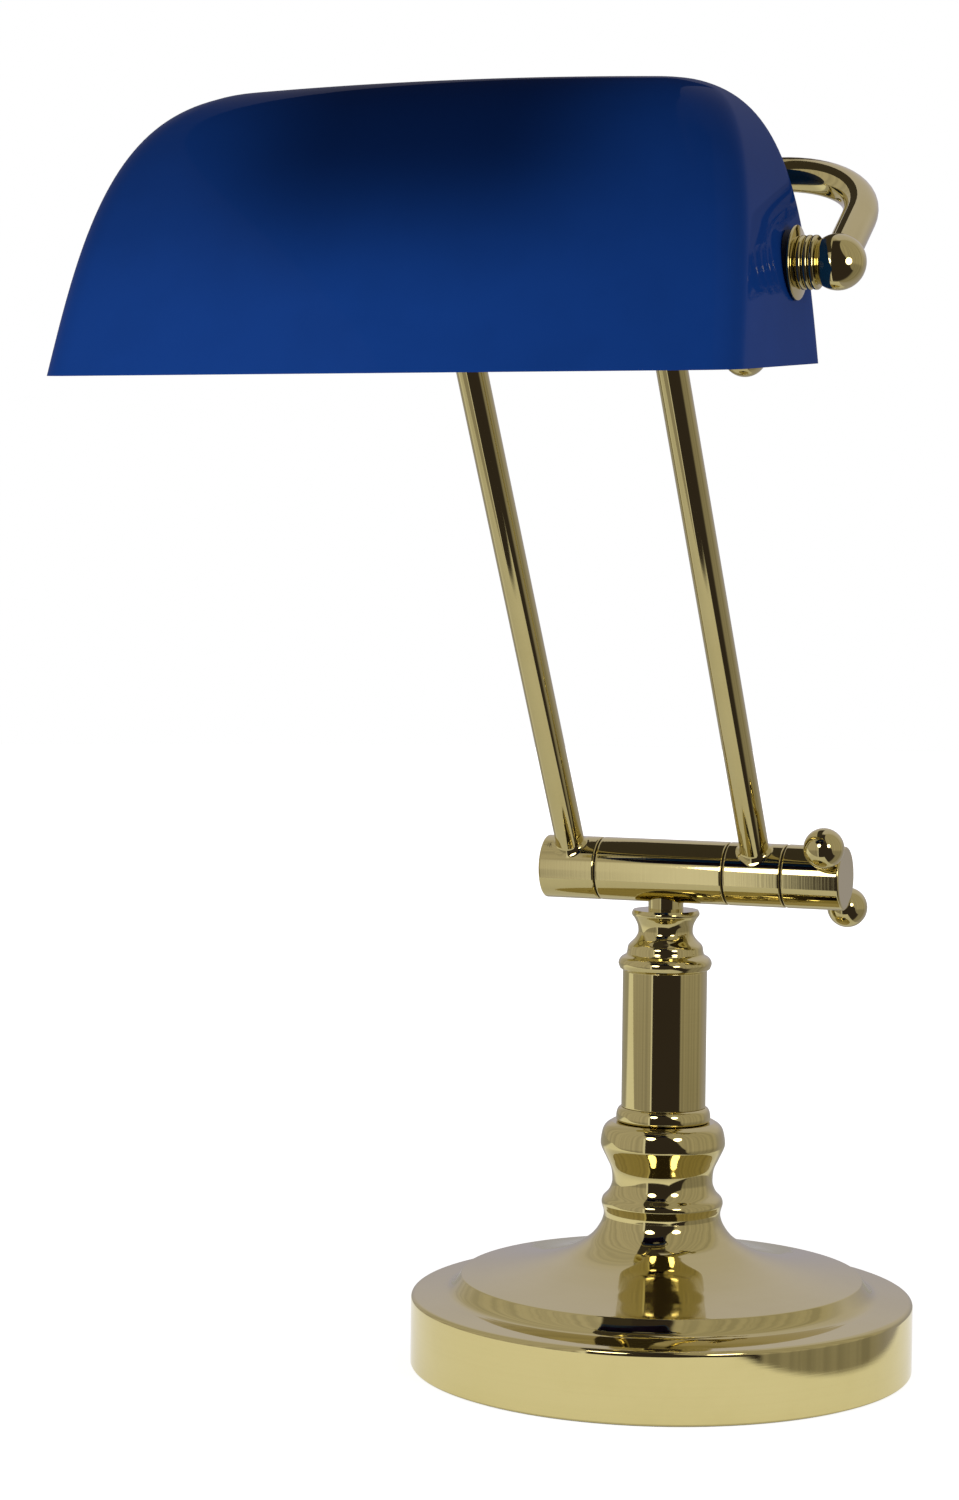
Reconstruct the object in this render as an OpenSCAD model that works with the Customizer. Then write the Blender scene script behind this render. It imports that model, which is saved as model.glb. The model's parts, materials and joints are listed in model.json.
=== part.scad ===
/* [Base] */
// Outer diameter of the base
base_d = 192; // [170:1:230]
// Height of the rim
rim_h = 27.2; // [24:0.2:34]
// Edge rounding of the rim
rim_round = 1.8; // [0.5:0.1:3]
// Rise of the sloping ring from the rim to the step
ring_rise = 1.2; // [0.4:0.2:4]
// Diameter at the foot of the step
step_d = 168; // [160:1:174]
// Diameter of the raised disc inside the step
disc_d = 154; // [120:1:158]
// Edge rounding of the raised disc
disc_round = 0.6; // [0.3:0.1:3]
// Height of the step
step_h = 6.4; // [4:0.2:10]
// Height of the base cover at the stem seat
base_h = 58; // [52:0.5:75]
// Diameter of the stem seat on the base cover
seat_d = 44.6; // [40:0.2:50]
// Wall of the base cover
cover_wall = 1.2; // [0.8:0.1:2]
// Clearance of the rim above the table
rim_lift = 0.4; // [0.2:0.1:1]
// Thickness of the felt pad
felt_h = 2; // [1:0.5:4]
// Thickness of the ballast disc
weight_h = 12; // [10:0.5:16]
// Width of the raised rim of the ballast
weight_rim_w = 8; // [5:0.5:14]
// Bore of the cord inlet
inlet_d = 7; // [5:0.5:8]
// Height of the cord inlet
inlet_z = 14; // [13:0.5:16]

/* [Stem] */
// Height of the turned lower stem
baluster_h = 36.3; // [30:0.1:50]
// Largest diameter of the bulb on the lower stem
bulge_d = 47.6; // [44:0.2:56]
// Diameter of the foot ring of the lower stem
foot_d = 46.4; // [44:0.2:54]
// Diameter of the waist of the lower stem
waist_d = 38.4; // [34:0.2:42]
// Height of the ring under the column
collar_h = 5.6; // [4:0.1:8]
// Diameter of the ring under the column
collar_d = 36; // [34:0.2:40]
// Length of the column
column_h = 52.6; // [30:0.1:90]
// Diameter of the column
column_d = 32.2; // [29:0.1:33]
// Wall of the column
column_wall = 1.5; // [1:0.1:2.5]
// Height of the turned cap on the column
cap_h = 23; // [20:0.5:32]
// Diameter of the ring of the cap
cap_d = 35.6; // [34:0.2:40]
// Diameter of the lip at the top of the cap
lip_d = 25.8; // [22:0.2:28]
// Diameter of the neck below the lip
throat_d = 20.8; // [16:0.2:21]
// Height of the neck between the cap and the pivot barrel
neck_h = 2.85; // [2:0.05:8]
// Diameter of the neck
neck_d = 13.4; // [12.8:0.2:16]
// Outer diameter of the threaded pipe and nipples
pipe_d = 10; // [9:0.5:10.5]
// Bore of the threaded pipe and nipples
pipe_bore = 7; // [5:0.5:7.5]

/* [Pivot barrels] */
// Diameter of the pivot barrels
barrel_d = 24; // [23:0.5:30]
// Length of the middle of each barrel
hub_len = 50; // [44:0.5:60]
// Length of each arm collar
side_len = 22; // [18:0.5:26]
// Length of each clamp knob
knob_len = 22.2; // [20:0.2:28]
// Thickness of the friction washers
washer_h = 0.6; // [0.4:0.1:1]
// Diameter of the pivot bolts
bolt_d = 8; // [6:0.5:8]
// Diameter of the pivot bolt heads
bolt_head_d = 14; // [12:0.5:16]
// Thickness of the pivot bolt heads
bolt_head_h = 4; // [3:0.5:5]
// Diameter of the knob balls
ball_d = 15.2; // [12:0.2:18]
// Distance of the knob balls from the pivot axis
ball_out = 22; // [21:0.5:26]
// Diameter of the bar through a knob
bar_d = 5; // [4:0.5:6]
// Distance of the bar from the outer end of a knob
bar_inset = 4; // [3.6:0.2:6]
// Turn of the lower knob bar above the horizontal
lower_bar_turn = 35; // [0:1:90]
// Turn of the upper knob bar above the horizontal
upper_bar_turn = 82; // [0:1:120]

/* [Arms] */
// Diameter of the arm, post and yoke tubes
tube_d = 11; // [9:0.5:12]
// Bore of the tubes
tube_bore = 8.6; // [6:0.2:8.8]
// Distance between the two pivots
arm_len = 249; // [200:1:300]
// Forward lean of the arms from the vertical
arm_lean = 32.6; // [20:0.2:45]

/* [Yoke] */
// Distance from the upper pivot to the cross tube
post_len = 55.3; // [45:0.1:70]
// Forward lean of the post from the vertical
post_lean = 54.3; // [40:0.1:65]
// Distance from the cross tube to the shade axis
yoke_reach = 60.7; // [56:0.1:80]
// Slope of the yoke legs
yoke_slope = 32.2; // [20:0.1:45]
// Bend radius of the yoke tube
bend_r = 33; // [18:0.5:36]
// Diameter of the ball bosses
boss_d = 17.2; // [17:0.2:22]
// Distance of the boss seat from the ball centre
boss_seat = 5.7; // [5:0.1:6.6]
// Length of the ringed nuts
ring_nut_len = 6; // [5:0.2:12]
// Diameter of the ringed nuts
ring_nut_d = 16.6; // [15:0.2:20]
// Diameter of the flanges
flange_d = 22.8; // [20:0.2:25]
// Thickness of the flanges
flange_h = 1.4; // [1:0.1:2]

/* [Shade] */
// Length of the shade
shade_len = 224; // [190:1:260]
// Depth of the shade
shade_depth = 102; // [98:0.5:110]
// Height of the shade
shade_h = 90.3; // [84:0.1:92]
// Distance of the crest from the front edge
crest_y = 80; // [70:0.5:84]
// Length of the crest
crest_len = 124; // [100:1:150]
// Thickness of the glass
glass_wall = 3.5; // [3:0.1:5]
// Corner radius of the shade seen from above
corner_r = 11; // [8:0.5:16]
// Downward tilt of the front edge
shade_tilt = 4.1; // [0:0.1:10]
// Distance of the pivot holes from the front edge
hole_y = 71; // [64:0.5:74]
// Height of the pivot holes above the bottom edge
hole_z = 30.8; // [28:0.2:36]
// Thickness of the rubber gaskets at the hole
gasket_h = 1.7; // [1.6:0.1:2.5]

/* [Light] */
// Outer diameter of the lampholder
holder_d = 28; // [26:0.5:30]
// Length of the lampholder
holder_len = 45; // [42:0.5:55]
// Diameter of the screw cap of the bulb
screw_d = 13.8; // [12:0.2:14]
// Diameter of the bulb
bulb_d = 35; // [30:1:42]
// Length of the glass of the bulb
bulb_len = 76; // [60:1:100]

/* [Hidden] */
$fn = 96;
// Radial clearance of fixed fits
fit_gap = 0.05;
// Radial clearance of turning fits
run_gap = 0.08;
// Clearance between a gasket and the curved glass
glass_gap = 0.25;
// Overlap of a cutting tool past the face it cuts
cut = 1;
// Edge break of the barrel pieces
edge = 0.5;
// Least edge rounding inside the base cover
least_round = 0.1;
// Depth of tube ends below the surface they enter
socket = 5.5;
// Steps in each stretch of a curved outline
steps = 5;
// Levels of the shade
levels = 16;
// Steps in each corner of the shade
corner_steps = 6;
// Share of the height at which the top of the shade closes
top_share = 0.995;
// Straight lean and roundness of the ends, front and back of the shade
end_lean = 0.14;
end_power = 3.3;
front_lean = 0.51;
front_power = 2.9;
back_lean = 0.21;
back_power = 2.6;

brass = [0.76, 0.68, 0.42];
steel = [0.62, 0.63, 0.65];
iron = [0.25, 0.25, 0.26];
rubber = [0.1, 0.1, 0.1];

// Heights of the stem, from the table up
baluster_z = base_h;
collar_z = baluster_z + baluster_h;
column_z = collar_z + collar_h;
cap_z = column_z + column_h;
neck_z = cap_z + cap_h;
pivot_z = neck_z + neck_h + barrel_d / 2;

// Places along the pivot barrels
barrel_r = barrel_d / 2;
side_in = hub_len / 2 + washer_h;
side_out = side_in + side_len;
knob_in = side_out + washer_h;
knob_out = knob_in + knob_len;
arm_x = side_in + side_len / 2;
knob_bar_x = knob_out - bar_inset;
bolt_end = knob_bar_x - bar_d;
head_sink = 0.5;

// Pivots and the cross tube in the side view
lower_pivot = [0, 0, pivot_z];
upper_pivot = lower_pivot + arm_len * [0, -sin(arm_lean), cos(arm_lean)];
cross_tube = upper_pivot + post_len * [0, -sin(post_lean), cos(post_lean)];
shade_axis = cross_tube - yoke_reach * [0, cos(yoke_slope), sin(yoke_slope)];

// Places along the shade axis, from the glass at the pivot holes, to a hundredth of a millimetre
hole_x = round(100 * shade_half(hole_z / shade_h)) / 100;
slope_span = 5;
hole_fall = shade_half((hole_z - slope_span) / shade_h) - shade_half((hole_z + slope_span) / shade_h);
hole_angle = atan(hole_fall / (2 * slope_span));
// Inner face of the glass, taken across the gasket
gasket_d = 2 * pipe_d;
glass_in_low = shade_inner_half(hole_z - gasket_d / 2);
glass_in_top = shade_inner_half(hole_z + gasket_d / 2);
glass_in_x = (glass_in_low + glass_in_top) / 2;
inner_angle = atan((glass_in_low - glass_in_top) / gasket_d);
flange_x = hole_x + gasket_h;
ring_nut_x = flange_x + flange_h;
boss_flat_x = ring_nut_x + ring_nut_len;
yoke_x = boss_flat_x + boss_seat;
inner_washer_h = 1.2;
lock_nut_h = 4;
inner_washer_x = glass_in_x - gasket_h - inner_washer_h;
lock_nut_x = inner_washer_x - lock_nut_h;
holder_x = lock_nut_x - holder_len;
nipple_tail = 6;
nipple_stop = 1;
nipple_in_x = lock_nut_x - nipple_tail;
nipple_out_x = yoke_x - nipple_stop;
// Distance from a ball's centre to the end of the leg inside it
leg_clear = 0.3;
leg_depth = pipe_d / 2 + leg_clear;
// How far a gasket reaches past the glass before it is trimmed
gasket_reach = 2;
// Holes for the wires where tubes meet
wire_d = min(tube_bore, pipe_bore) - 1;

// Places inside the base
weight_gap = 2.8;
weight_top_gap = 0.3;
weight_r = base_d / 2 - cover_wall - weight_gap;
felt_gap = 0.5;
recess_h = 6;
recess_r = pipe_d + 6;
base_washer_r = pipe_d + 4;
base_washer_h = 1.5;
base_nut_h = 3.6;
// Cord bushing, with its flange outside the rim
bushing_d = inlet_d + 3;
bushing_flange_d = bushing_d + 4;
bushing_flange_h = 1.6;
bushing_len = cover_wall + 4;

// Smooth curve through hand-set points, with straight ends
function spline_point(a, b, c, d, u) =
    0.5 * (2 * b + (c - a) * u + (2 * a - 5 * b + 4 * c - d) * u * u + (3 * b - a - 3 * c + d) * u * u * u);
function spline(points) = let (last = len(points) - 1) concat(
    [for (i = [0 : last - 1], k = [0 : steps - 1])
        spline_point(points[max(i - 1, 0)], points[i], points[i + 1], points[min(i + 2, last)], k / steps)],
    [points[last]]
);

// Arc of an edge, from facing outwards or a little higher to facing up
function round_edge(centre, r, from = 0) =
    [for (k = [0 : steps]) let (turn = from + (90 - from) * k / steps) centre + r * [cos(turn), sin(turn)]];

// Round body about the Z axis, from an outline of [radius, height] points, with a bore
module turned(outline, bore_d) {
    first = outline[0];
    last = outline[len(outline) - 1];
    rotate_extrude()
        polygon(concat([[bore_d / 2, first[1]]], outline, [[bore_d / 2, last[1]]]));
}

// Turns the Z axis of its children to the X axis
module along_x(x) {
    translate([x, 0, 0])
        rotate([0, 90, 0])
            children();
}

// Round bar along X between two places
module bar_x(from, to, d) {
    along_x(from)
        cylinder(h = to - from, d = d);
}

// Barrel piece along X with broken edges
module barrel_body(from, to) {
    long = to - from;
    outline = [
        [barrel_r - edge, 0],
        [barrel_r, edge],
        [barrel_r, long - edge],
        [barrel_r - edge, long]
    ];
    along_x(from)
        turned(outline, 0);
}

// Outline of the base cover, drawn in by an inset for its inside
function base_outline(inset) = let (
    rim_r = base_d / 2 - inset,
    disc_r = disc_d / 2 - inset,
    step_r = min(step_d / 2, base_d / 2 - 2 * rim_round) - inset,
    seat_r = seat_d / 2 - inset,
    rim_z = rim_h - inset,
    rim_edge = max(rim_round - inset, least_round),
    ring_z = rim_z + ring_rise,
    disc_z = ring_z + step_h,
    disc_edge = max(disc_round - inset, least_round),
    crown_r = disc_r - disc_edge,
    flank = 36,
    flank_r = crown_r + disc_edge * cos(flank),
    flank_z = disc_z - disc_edge * (1 - sin(flank)),
    top_z = base_h - inset,
    rise = top_z - disc_z,
    run = crown_r - seat_r
) concat(
    [[rim_r, inset > 0 ? rim_lift - cut : rim_lift]],
    round_edge([rim_r - rim_edge, rim_z - rim_edge], rim_edge),
    spline([
        [step_r, ring_z],
        [step_r - 0.3 * (step_r - disc_r), ring_z + 0.07 * step_h],
        [step_r - 0.55 * (step_r - disc_r), ring_z + 0.25 * step_h],
        [step_r - 0.8 * (step_r - disc_r), ring_z + 0.6 * step_h],
        [flank_r, flank_z]
    ]),
    round_edge([crown_r, disc_z - disc_edge], disc_edge, flank),
    spline([
        [crown_r, disc_z],
        [crown_r - 0.24 * run, disc_z + 0.085 * rise],
        [crown_r - 0.49 * run, disc_z + 0.2 * rise],
        [crown_r - 0.71 * run, disc_z + 0.355 * rise],
        [crown_r - 0.86 * run, disc_z + 0.545 * rise],
        [crown_r - 0.93 * run, disc_z + 0.685 * rise],
        [crown_r - 0.98 * run, disc_z + 0.86 * rise],
        [seat_r, top_z]
    ])
);

module base_cover() {
    color(brass)
        difference() {
            turned(base_outline(0), pipe_d + 2 * fit_gap);
            turned(base_outline(cover_wall), 0);
            translate([0, base_d / 2, inlet_z])
                rotate([90, 0, 0])
                    cylinder(h = 4 * cover_wall + 2 * cut, d = bushing_d + 2 * fit_gap, center = true);
        }
}

// Ballast: raised rim, recess for the nut, notch for the bushing and a channel for the wires
module base_weight() {
    rim_top = rim_h - cover_wall - weight_top_gap;
    rim_in = weight_r - weight_rim_w;
    notch_gap = 1;
    channel_h = 4;
    channel_end = rim_in - 2 * inlet_d;
    color(iron)
        difference() {
            translate([0, 0, felt_h])
                cylinder(h = rim_top - felt_h, r = weight_r);
            translate([0, 0, felt_h + weight_h])
                cylinder(h = rim_top, r = rim_in);
            translate([0, 0, felt_h - cut])
                cylinder(h = weight_h + 2 * cut, d = pipe_d + 2 * fit_gap);
            translate([0, 0, felt_h - cut])
                cylinder(h = recess_h + cut, r = recess_r);
            translate([-bushing_d / 2 - notch_gap, rim_in - cut, inlet_z - bushing_d / 2 - notch_gap])
                cube([bushing_d + 2 * notch_gap, weight_rim_w + 2 * cut, rim_top]);
            translate([-inlet_d / 2, 0, felt_h - cut])
                cube([inlet_d, channel_end, channel_h + cut]);
            translate([0, channel_end, felt_h - cut])
                cylinder(h = weight_h + 2 * cut, d = inlet_d);
        }
}

module base_felt() {
    color("darkgreen")
        cylinder(h = felt_h, r = base_d / 2 - cover_wall - felt_gap);
}

module base_washer() {
    color(steel)
        translate([0, 0, felt_h + recess_h - base_washer_h])
            difference() {
                cylinder(h = base_washer_h, r = base_washer_r);
                translate([0, 0, -cut])
                    cylinder(h = base_washer_h + 2 * cut, d = pipe_d + 2 * fit_gap);
            }
}

module hex_nut(h) {
    flats = 1.5 * pipe_d;
    difference() {
        cylinder(h = h, d = flats / cos(30), $fn = 6);
        translate([0, 0, -cut])
            cylinder(h = h + 2 * cut, d = pipe_d + 2 * fit_gap);
    }
}

module base_nut() {
    color(steel)
        translate([0, 0, felt_h + recess_h - base_washer_h - base_nut_h])
            hex_nut(base_nut_h);
}

module threaded_pipe(h) {
    difference() {
        cylinder(h = h, d = pipe_d);
        translate([0, 0, -cut])
            cylinder(h = h + 2 * cut, d = pipe_bore);
    }
}

module centre_pipe() {
    bottom = felt_h + felt_gap;
    color(steel)
        translate([0, 0, bottom])
            threaded_pipe(pivot_z - barrel_r + socket - bottom);
}

module cord_bushing() {
    color("saddlebrown")
        translate([0, base_d / 2, inlet_z])
            rotate([90, 0, 0])
                difference() {
                    union() {
                        translate([0, 0, -bushing_flange_h])
                            cylinder(h = bushing_flange_h, d = bushing_flange_d);
                        cylinder(h = bushing_len, d = bushing_d);
                    }
                    translate([0, 0, -bushing_flange_h - cut])
                        cylinder(h = bushing_len + bushing_flange_h + 2 * cut, d = inlet_d);
                }
}

module stem_baluster() {
    outline = spline([
        [seat_d / 2, 0],
        [seat_d / 2 + 0.1, 0.05 * baluster_h],
        [foot_d / 2 - 0.3, 0.1 * baluster_h],
        [foot_d / 2, 0.14 * baluster_h],
        [foot_d / 2 - 0.5, 0.19 * baluster_h],
        [waist_d / 2 + 1.5, 0.25 * baluster_h],
        [waist_d / 2 + 0.3, 0.32 * baluster_h],
        [waist_d / 2, 0.39 * baluster_h],
        [waist_d / 2 + 0.5, 0.5 * baluster_h],
        [waist_d / 2 + 2.3, 0.61 * baluster_h],
        [bulge_d / 2 - 0.4, 0.72 * baluster_h],
        [bulge_d / 2, 0.785 * baluster_h],
        [bulge_d / 2 - 0.7, 0.9 * baluster_h],
        [bulge_d / 2 - 1.9, 0.96 * baluster_h],
        [bulge_d / 2 - 4, baluster_h]
    ]);
    color(brass)
        translate([0, 0, baluster_z])
            turned(outline, pipe_d + 2 * fit_gap);
}

// Spigot that centres the column on the ring or the cap
spigot_h = 2;
spigot_d = column_d - 2 * column_wall - 2 * fit_gap;

module stem_collar() {
    ring_r = collar_d / 2;
    outline = concat(
        spline([
            [ring_r - 1.2, 0],
            [ring_r - 0.3, 0.06 * collar_h],
            [ring_r, 0.2 * collar_h],
            [ring_r - 0.05, 0.5 * collar_h],
            [ring_r - 0.4, 0.75 * collar_h],
            [ring_r - 0.9, 0.9 * collar_h],
            [ring_r - 1.6, collar_h]
        ]),
        [[spigot_d / 2, collar_h], [spigot_d / 2, collar_h + spigot_h]]
    );
    color(brass)
        translate([0, 0, collar_z])
            turned(outline, pipe_d + 2 * fit_gap);
}

module column_tube() {
    color(brass)
        translate([0, 0, column_z])
            difference() {
                cylinder(h = column_h, d = column_d);
                translate([0, 0, -cut])
                    cylinder(h = column_h + 2 * cut, d = column_d - 2 * column_wall);
            }
}

module column_cap() {
    outline = concat(
        [[spigot_d / 2, -spigot_h], [spigot_d / 2, 0], [column_d / 2 + 0.2, 0]],
        spline([
            [cap_d / 2 - 0.6, 0.03 * cap_h],
            [cap_d / 2, 0.115 * cap_h],
            [cap_d / 2 - 0.8, 0.2 * cap_h],
            [throat_d / 2 + 4.6, 0.26 * cap_h],
            [throat_d / 2 + 4.15, 0.31 * cap_h],
            [throat_d / 2 + 3.65, 0.41 * cap_h],
            [throat_d / 2 + 1.5, 0.51 * cap_h],
            [throat_d / 2 + 0.3, 0.59 * cap_h],
            [throat_d / 2, 0.66 * cap_h],
            [throat_d / 2 + 0.35, 0.76 * cap_h],
            [lip_d / 2 - 1, 0.86 * cap_h],
            [lip_d / 2 - 0.15, 0.91 * cap_h],
            [lip_d / 2, 0.95 * cap_h],
            [lip_d / 2 - 0.5, cap_h]
        ])
    );
    color(brass)
        translate([0, 0, cap_z])
            turned(outline, pipe_d + 2 * fit_gap);
}

module neck_spacer() {
    color(brass)
        difference() {
            translate([0, 0, neck_z])
                cylinder(h = neck_h + barrel_r, d = neck_d);
            translate([0, 0, neck_z - cut])
                cylinder(h = neck_h + barrel_d, d = pipe_d + 2 * fit_gap);
            translate(lower_pivot)
                bar_x(-hub_len / 2, hub_len / 2, barrel_d + 2 * fit_gap);
        }
}

// Middle of a barrel: hollow for the wires, with one tube entering at an angle
module hub(entry_turn, entry_d) {
    wall = 6;
    difference() {
        barrel_body(-hub_len / 2, hub_len / 2);
        bar_x(-hub_len, hub_len, bolt_d + 2 * run_gap);
        bar_x(wall - hub_len / 2, hub_len / 2 - wall, barrel_d - wall);
        rotate([entry_turn, 0, 0])
            cylinder(h = barrel_d, d = entry_d + 2 * fit_gap);
    }
}

module lower_hub() {
    color(brass)
        translate(lower_pivot)
            hub(180, pipe_d);
}

module upper_hub() {
    color(brass)
        translate(upper_pivot)
            hub(post_lean, tube_d);
}

// Arm collar, drawn on the +X side, with the arm entering at an angle
module side_collar(entry_turn) {
    difference() {
        barrel_body(side_in, side_out);
        bar_x(side_in - cut, side_out + cut, bolt_d + 2 * run_gap);
        translate([arm_x, 0, 0])
            rotate([entry_turn, 0, 0])
                translate([0, 0, barrel_r - socket])
                    cylinder(h = barrel_d, d = tube_d + 2 * fit_gap);
        translate([arm_x, 0, 0])
            rotate([entry_turn, 0, 0])
                cylinder(h = barrel_d, d = tube_bore);
    }
}

// Collar on the -X side, with a seat for the bolt head
module head_collar(entry_turn) {
    difference() {
        mirror([1, 0, 0])
            side_collar(entry_turn);
        bar_x(-side_out - cut, bolt_head_h + head_sink - side_out, bolt_head_d + 4 * fit_gap);
    }
}

module lower_left_collar() {
    color(brass)
        translate(lower_pivot)
            head_collar(arm_lean);
}

module lower_right_collar() {
    color(brass)
        translate(lower_pivot)
            side_collar(arm_lean);
}

module upper_left_collar() {
    color(brass)
        translate(upper_pivot)
            head_collar(180 + arm_lean);
}

module upper_right_collar() {
    color(brass)
        translate(upper_pivot)
            side_collar(180 + arm_lean);
}

module tube(h) {
    difference() {
        cylinder(h = h, d = tube_d);
        translate([0, 0, -cut])
            cylinder(h = h + 2 * cut, d = tube_bore);
    }
}

module arm(x) {
    color(brass)
        translate(lower_pivot + [x, 0, 0])
            rotate([arm_lean, 0, 0])
                translate([0, 0, barrel_r - socket])
                    tube(arm_len - barrel_d + 2 * socket);
}

module left_arm() {
    arm(-arm_x);
}

module right_arm() {
    arm(arm_x);
}

// Pivot bolt with a slotted head in the left collar and its end in the knob
module pivot_bolt() {
    head_x = head_sink - side_out;
    slot_w = 1.6;
    color(steel)
        difference() {
            union() {
                bar_x(head_x, head_x + bolt_head_h, bolt_head_d);
                bar_x(head_x, bolt_end, bolt_d);
            }
            translate([head_x - cut, -bolt_head_d, -slot_w / 2])
                cube([cut + slot_w, 2 * bolt_head_d, slot_w]);
        }
}

module lower_bolt() {
    translate(lower_pivot)
        pivot_bolt();
}

module upper_bolt() {
    translate(upper_pivot)
        pivot_bolt();
}

// Three thin washers at the seams of a barrel
module seam_washers() {
    color("dimgray")
        for (x = [-side_in, hub_len / 2, side_out])
            difference() {
                bar_x(x, x + washer_h, barrel_d - 4 * edge);
                bar_x(x - cut, x + washer_h + cut, bolt_d + 2 * run_gap);
            }
}

module lower_washers() {
    translate(lower_pivot)
        seam_washers();
}

module upper_washers() {
    translate(upper_pivot)
        seam_washers();
}

// Clamp knob: blind bore for the bolt and a cross hole for the bar
module clamp_knob(turn) {
    color(brass)
        difference() {
            barrel_body(knob_in, knob_out);
            bar_x(knob_in - cut, bolt_end + run_gap, bolt_d + 2 * run_gap);
            translate([knob_bar_x, 0, 0])
                rotate([turn + 90, 0, 0])
                    cylinder(h = 2 * barrel_d, d = bar_d + 2 * fit_gap, center = true);
        }
}

// How far the bar reaches into each ball
bar_grip = 4;
bar_half = ball_out - ball_d / 2 + bar_grip;

module knob_bar(turn) {
    color(brass)
        translate([knob_bar_x, 0, 0])
            rotate([turn + 90, 0, 0])
                cylinder(h = 2 * bar_half, d = bar_d, center = true);
}

module knob_balls(turn) {
    color(brass)
        translate([knob_bar_x, 0, 0])
            rotate([turn + 90, 0, 0])
                for (side = [0, 180])
                    rotate([side, 0, 0])
                        difference() {
                            translate([0, 0, ball_out])
                                sphere(d = ball_d);
                            cylinder(h = bar_half, d = bar_d + 2 * fit_gap);
                        }
}

module lower_knob() {
    translate(lower_pivot)
        clamp_knob(-lower_bar_turn);
}

module lower_knob_bar() {
    translate(lower_pivot)
        knob_bar(-lower_bar_turn);
}

module lower_knob_balls() {
    translate(lower_pivot)
        knob_balls(-lower_bar_turn);
}

module upper_knob() {
    translate(upper_pivot)
        clamp_knob(-upper_bar_turn);
}

module upper_knob_bar() {
    translate(upper_pivot)
        knob_bar(-upper_bar_turn);
}

module upper_knob_balls() {
    translate(upper_pivot)
        knob_balls(-upper_bar_turn);
}

module yoke_post() {
    color(brass)
        difference() {
            translate(upper_pivot)
                rotate([post_lean, 0, 0])
                    translate([0, 0, barrel_r - socket])
                        tube(post_len - barrel_r + socket);
            translate(cross_tube)
                bar_x(-tube_d, tube_d, tube_d + 2 * fit_gap);
        }
}

// Bend of the yoke tube, a quarter turn from the cross tube to a leg
module yoke_bend() {
    rotate_extrude(angle = 90)
        translate([bend_r, 0])
            difference() {
                circle(d = tube_d);
                circle(d = tube_bore);
            }
}

// Cross tube with a side hole for the wires, two bends and two legs
module yoke_tube() {
    straight = yoke_x - bend_r;
    leg_len = yoke_reach - leg_depth - bend_r;
    color(brass)
        translate(cross_tube)
            rotate([yoke_slope, 0, 0]) {
                difference() {
                    along_x(-straight)
                        tube(2 * straight);
                    rotate([180 + post_lean - yoke_slope, 0, 0])
                        cylinder(h = tube_d, d = wire_d);
                }
                for (side = [0, 1])
                    mirror([side, 0, 0]) {
                        translate([straight, -bend_r, 0])
                            yoke_bend();
                        translate([yoke_x, -bend_r, 0])
                            rotate([90, 0, 0])
                                tube(leg_len);
                    }
            }
}

// Ball boss on the +X side: seat for the ringed nut, bore for the nipple, socket for the leg
module yoke_ball() {
    difference() {
        along_x(yoke_x)
            sphere(d = boss_d);
        translate([boss_flat_x - boss_d, -boss_d, -boss_d])
            cube([boss_d, 2 * boss_d, 2 * boss_d]);
        bar_x(boss_flat_x - cut, nipple_out_x, pipe_d + 2 * fit_gap);
        translate([yoke_x, 0, 0])
            rotate([yoke_slope - 90, 0, 0])
                translate([0, 0, leg_depth])
                    cylinder(h = boss_d, d = tube_d + 2 * fit_gap);
        translate([yoke_x, 0, 0])
            rotate([yoke_slope - 90, 0, 0])
                cylinder(h = boss_d, d = wire_d);
    }
}

// Ringed nut on the +X side: three rounded beads with grooves between them
module ring_nut() {
    beads = 3;
    bead_w = ring_nut_len / beads;
    groove = 0.9;
    outline = concat(
        [for (i = [0 : beads - 1], k = [0 : steps - 1]) let (turn = 180 * k / steps)
            [ring_nut_d / 2 - groove + groove * sin(turn), (i + 0.5 - 0.5 * cos(turn)) * bead_w]],
        [[ring_nut_d / 2 - groove, ring_nut_len]]
    );
    along_x(ring_nut_x)
        turned(outline, pipe_d + 2 * fit_gap);
}

// Flange on the +X side, thinner at its edge
module flange() {
    along_x(flange_x)
        turned([[flange_d / 2, 0], [flange_d / 2, flange_h / 2], [ring_nut_d / 2, flange_h]],
            pipe_d + 2 * fit_gap);
}

module nipple() {
    along_x(nipple_in_x)
        threaded_pipe(nipple_out_x - nipple_in_x);
}

// Puts a piece of the +X end on the shade axis, or its mirror image on the other end
module at_end(side) {
    translate(shade_axis)
        mirror([side, 0, 0])
            children();
}

module left_yoke_ball() {
    color(brass)
        at_end(1)
            yoke_ball();
}

module right_yoke_ball() {
    color(brass)
        at_end(0)
            yoke_ball();
}

module left_ring_nut() {
    color(brass)
        at_end(1)
            ring_nut();
}

module right_ring_nut() {
    color(brass)
        at_end(0)
            ring_nut();
}

module left_flange() {
    color(brass)
        at_end(1)
            flange();
}

module right_flange() {
    color(brass)
        at_end(0)
            flange();
}

module left_nipple() {
    color(steel)
        at_end(1)
            nipple();
}

module right_nipple() {
    color(steel)
        at_end(0)
            nipple();
}

module inner_washers() {
    color(steel)
        for (side = [0, 1])
            at_end(side)
                along_x(inner_washer_x)
                    difference() {
                        cylinder(h = inner_washer_h, d = gasket_d);
                        translate([0, 0, -cut])
                            cylinder(h = inner_washer_h + 2 * cut, d = pipe_d + 2 * fit_gap);
                    }
}

module lock_nuts() {
    color(steel)
        for (side = [0, 1])
            at_end(side)
                along_x(lock_nut_x)
                    hex_nut(lock_nut_h);
}

// Lampholder on the +X nipple, open towards the middle of the shade
holder_wall = 2.2;
holder_floor = 8;
core_h = 30;
core_floor = 3;
contact_d = 4;

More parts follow.
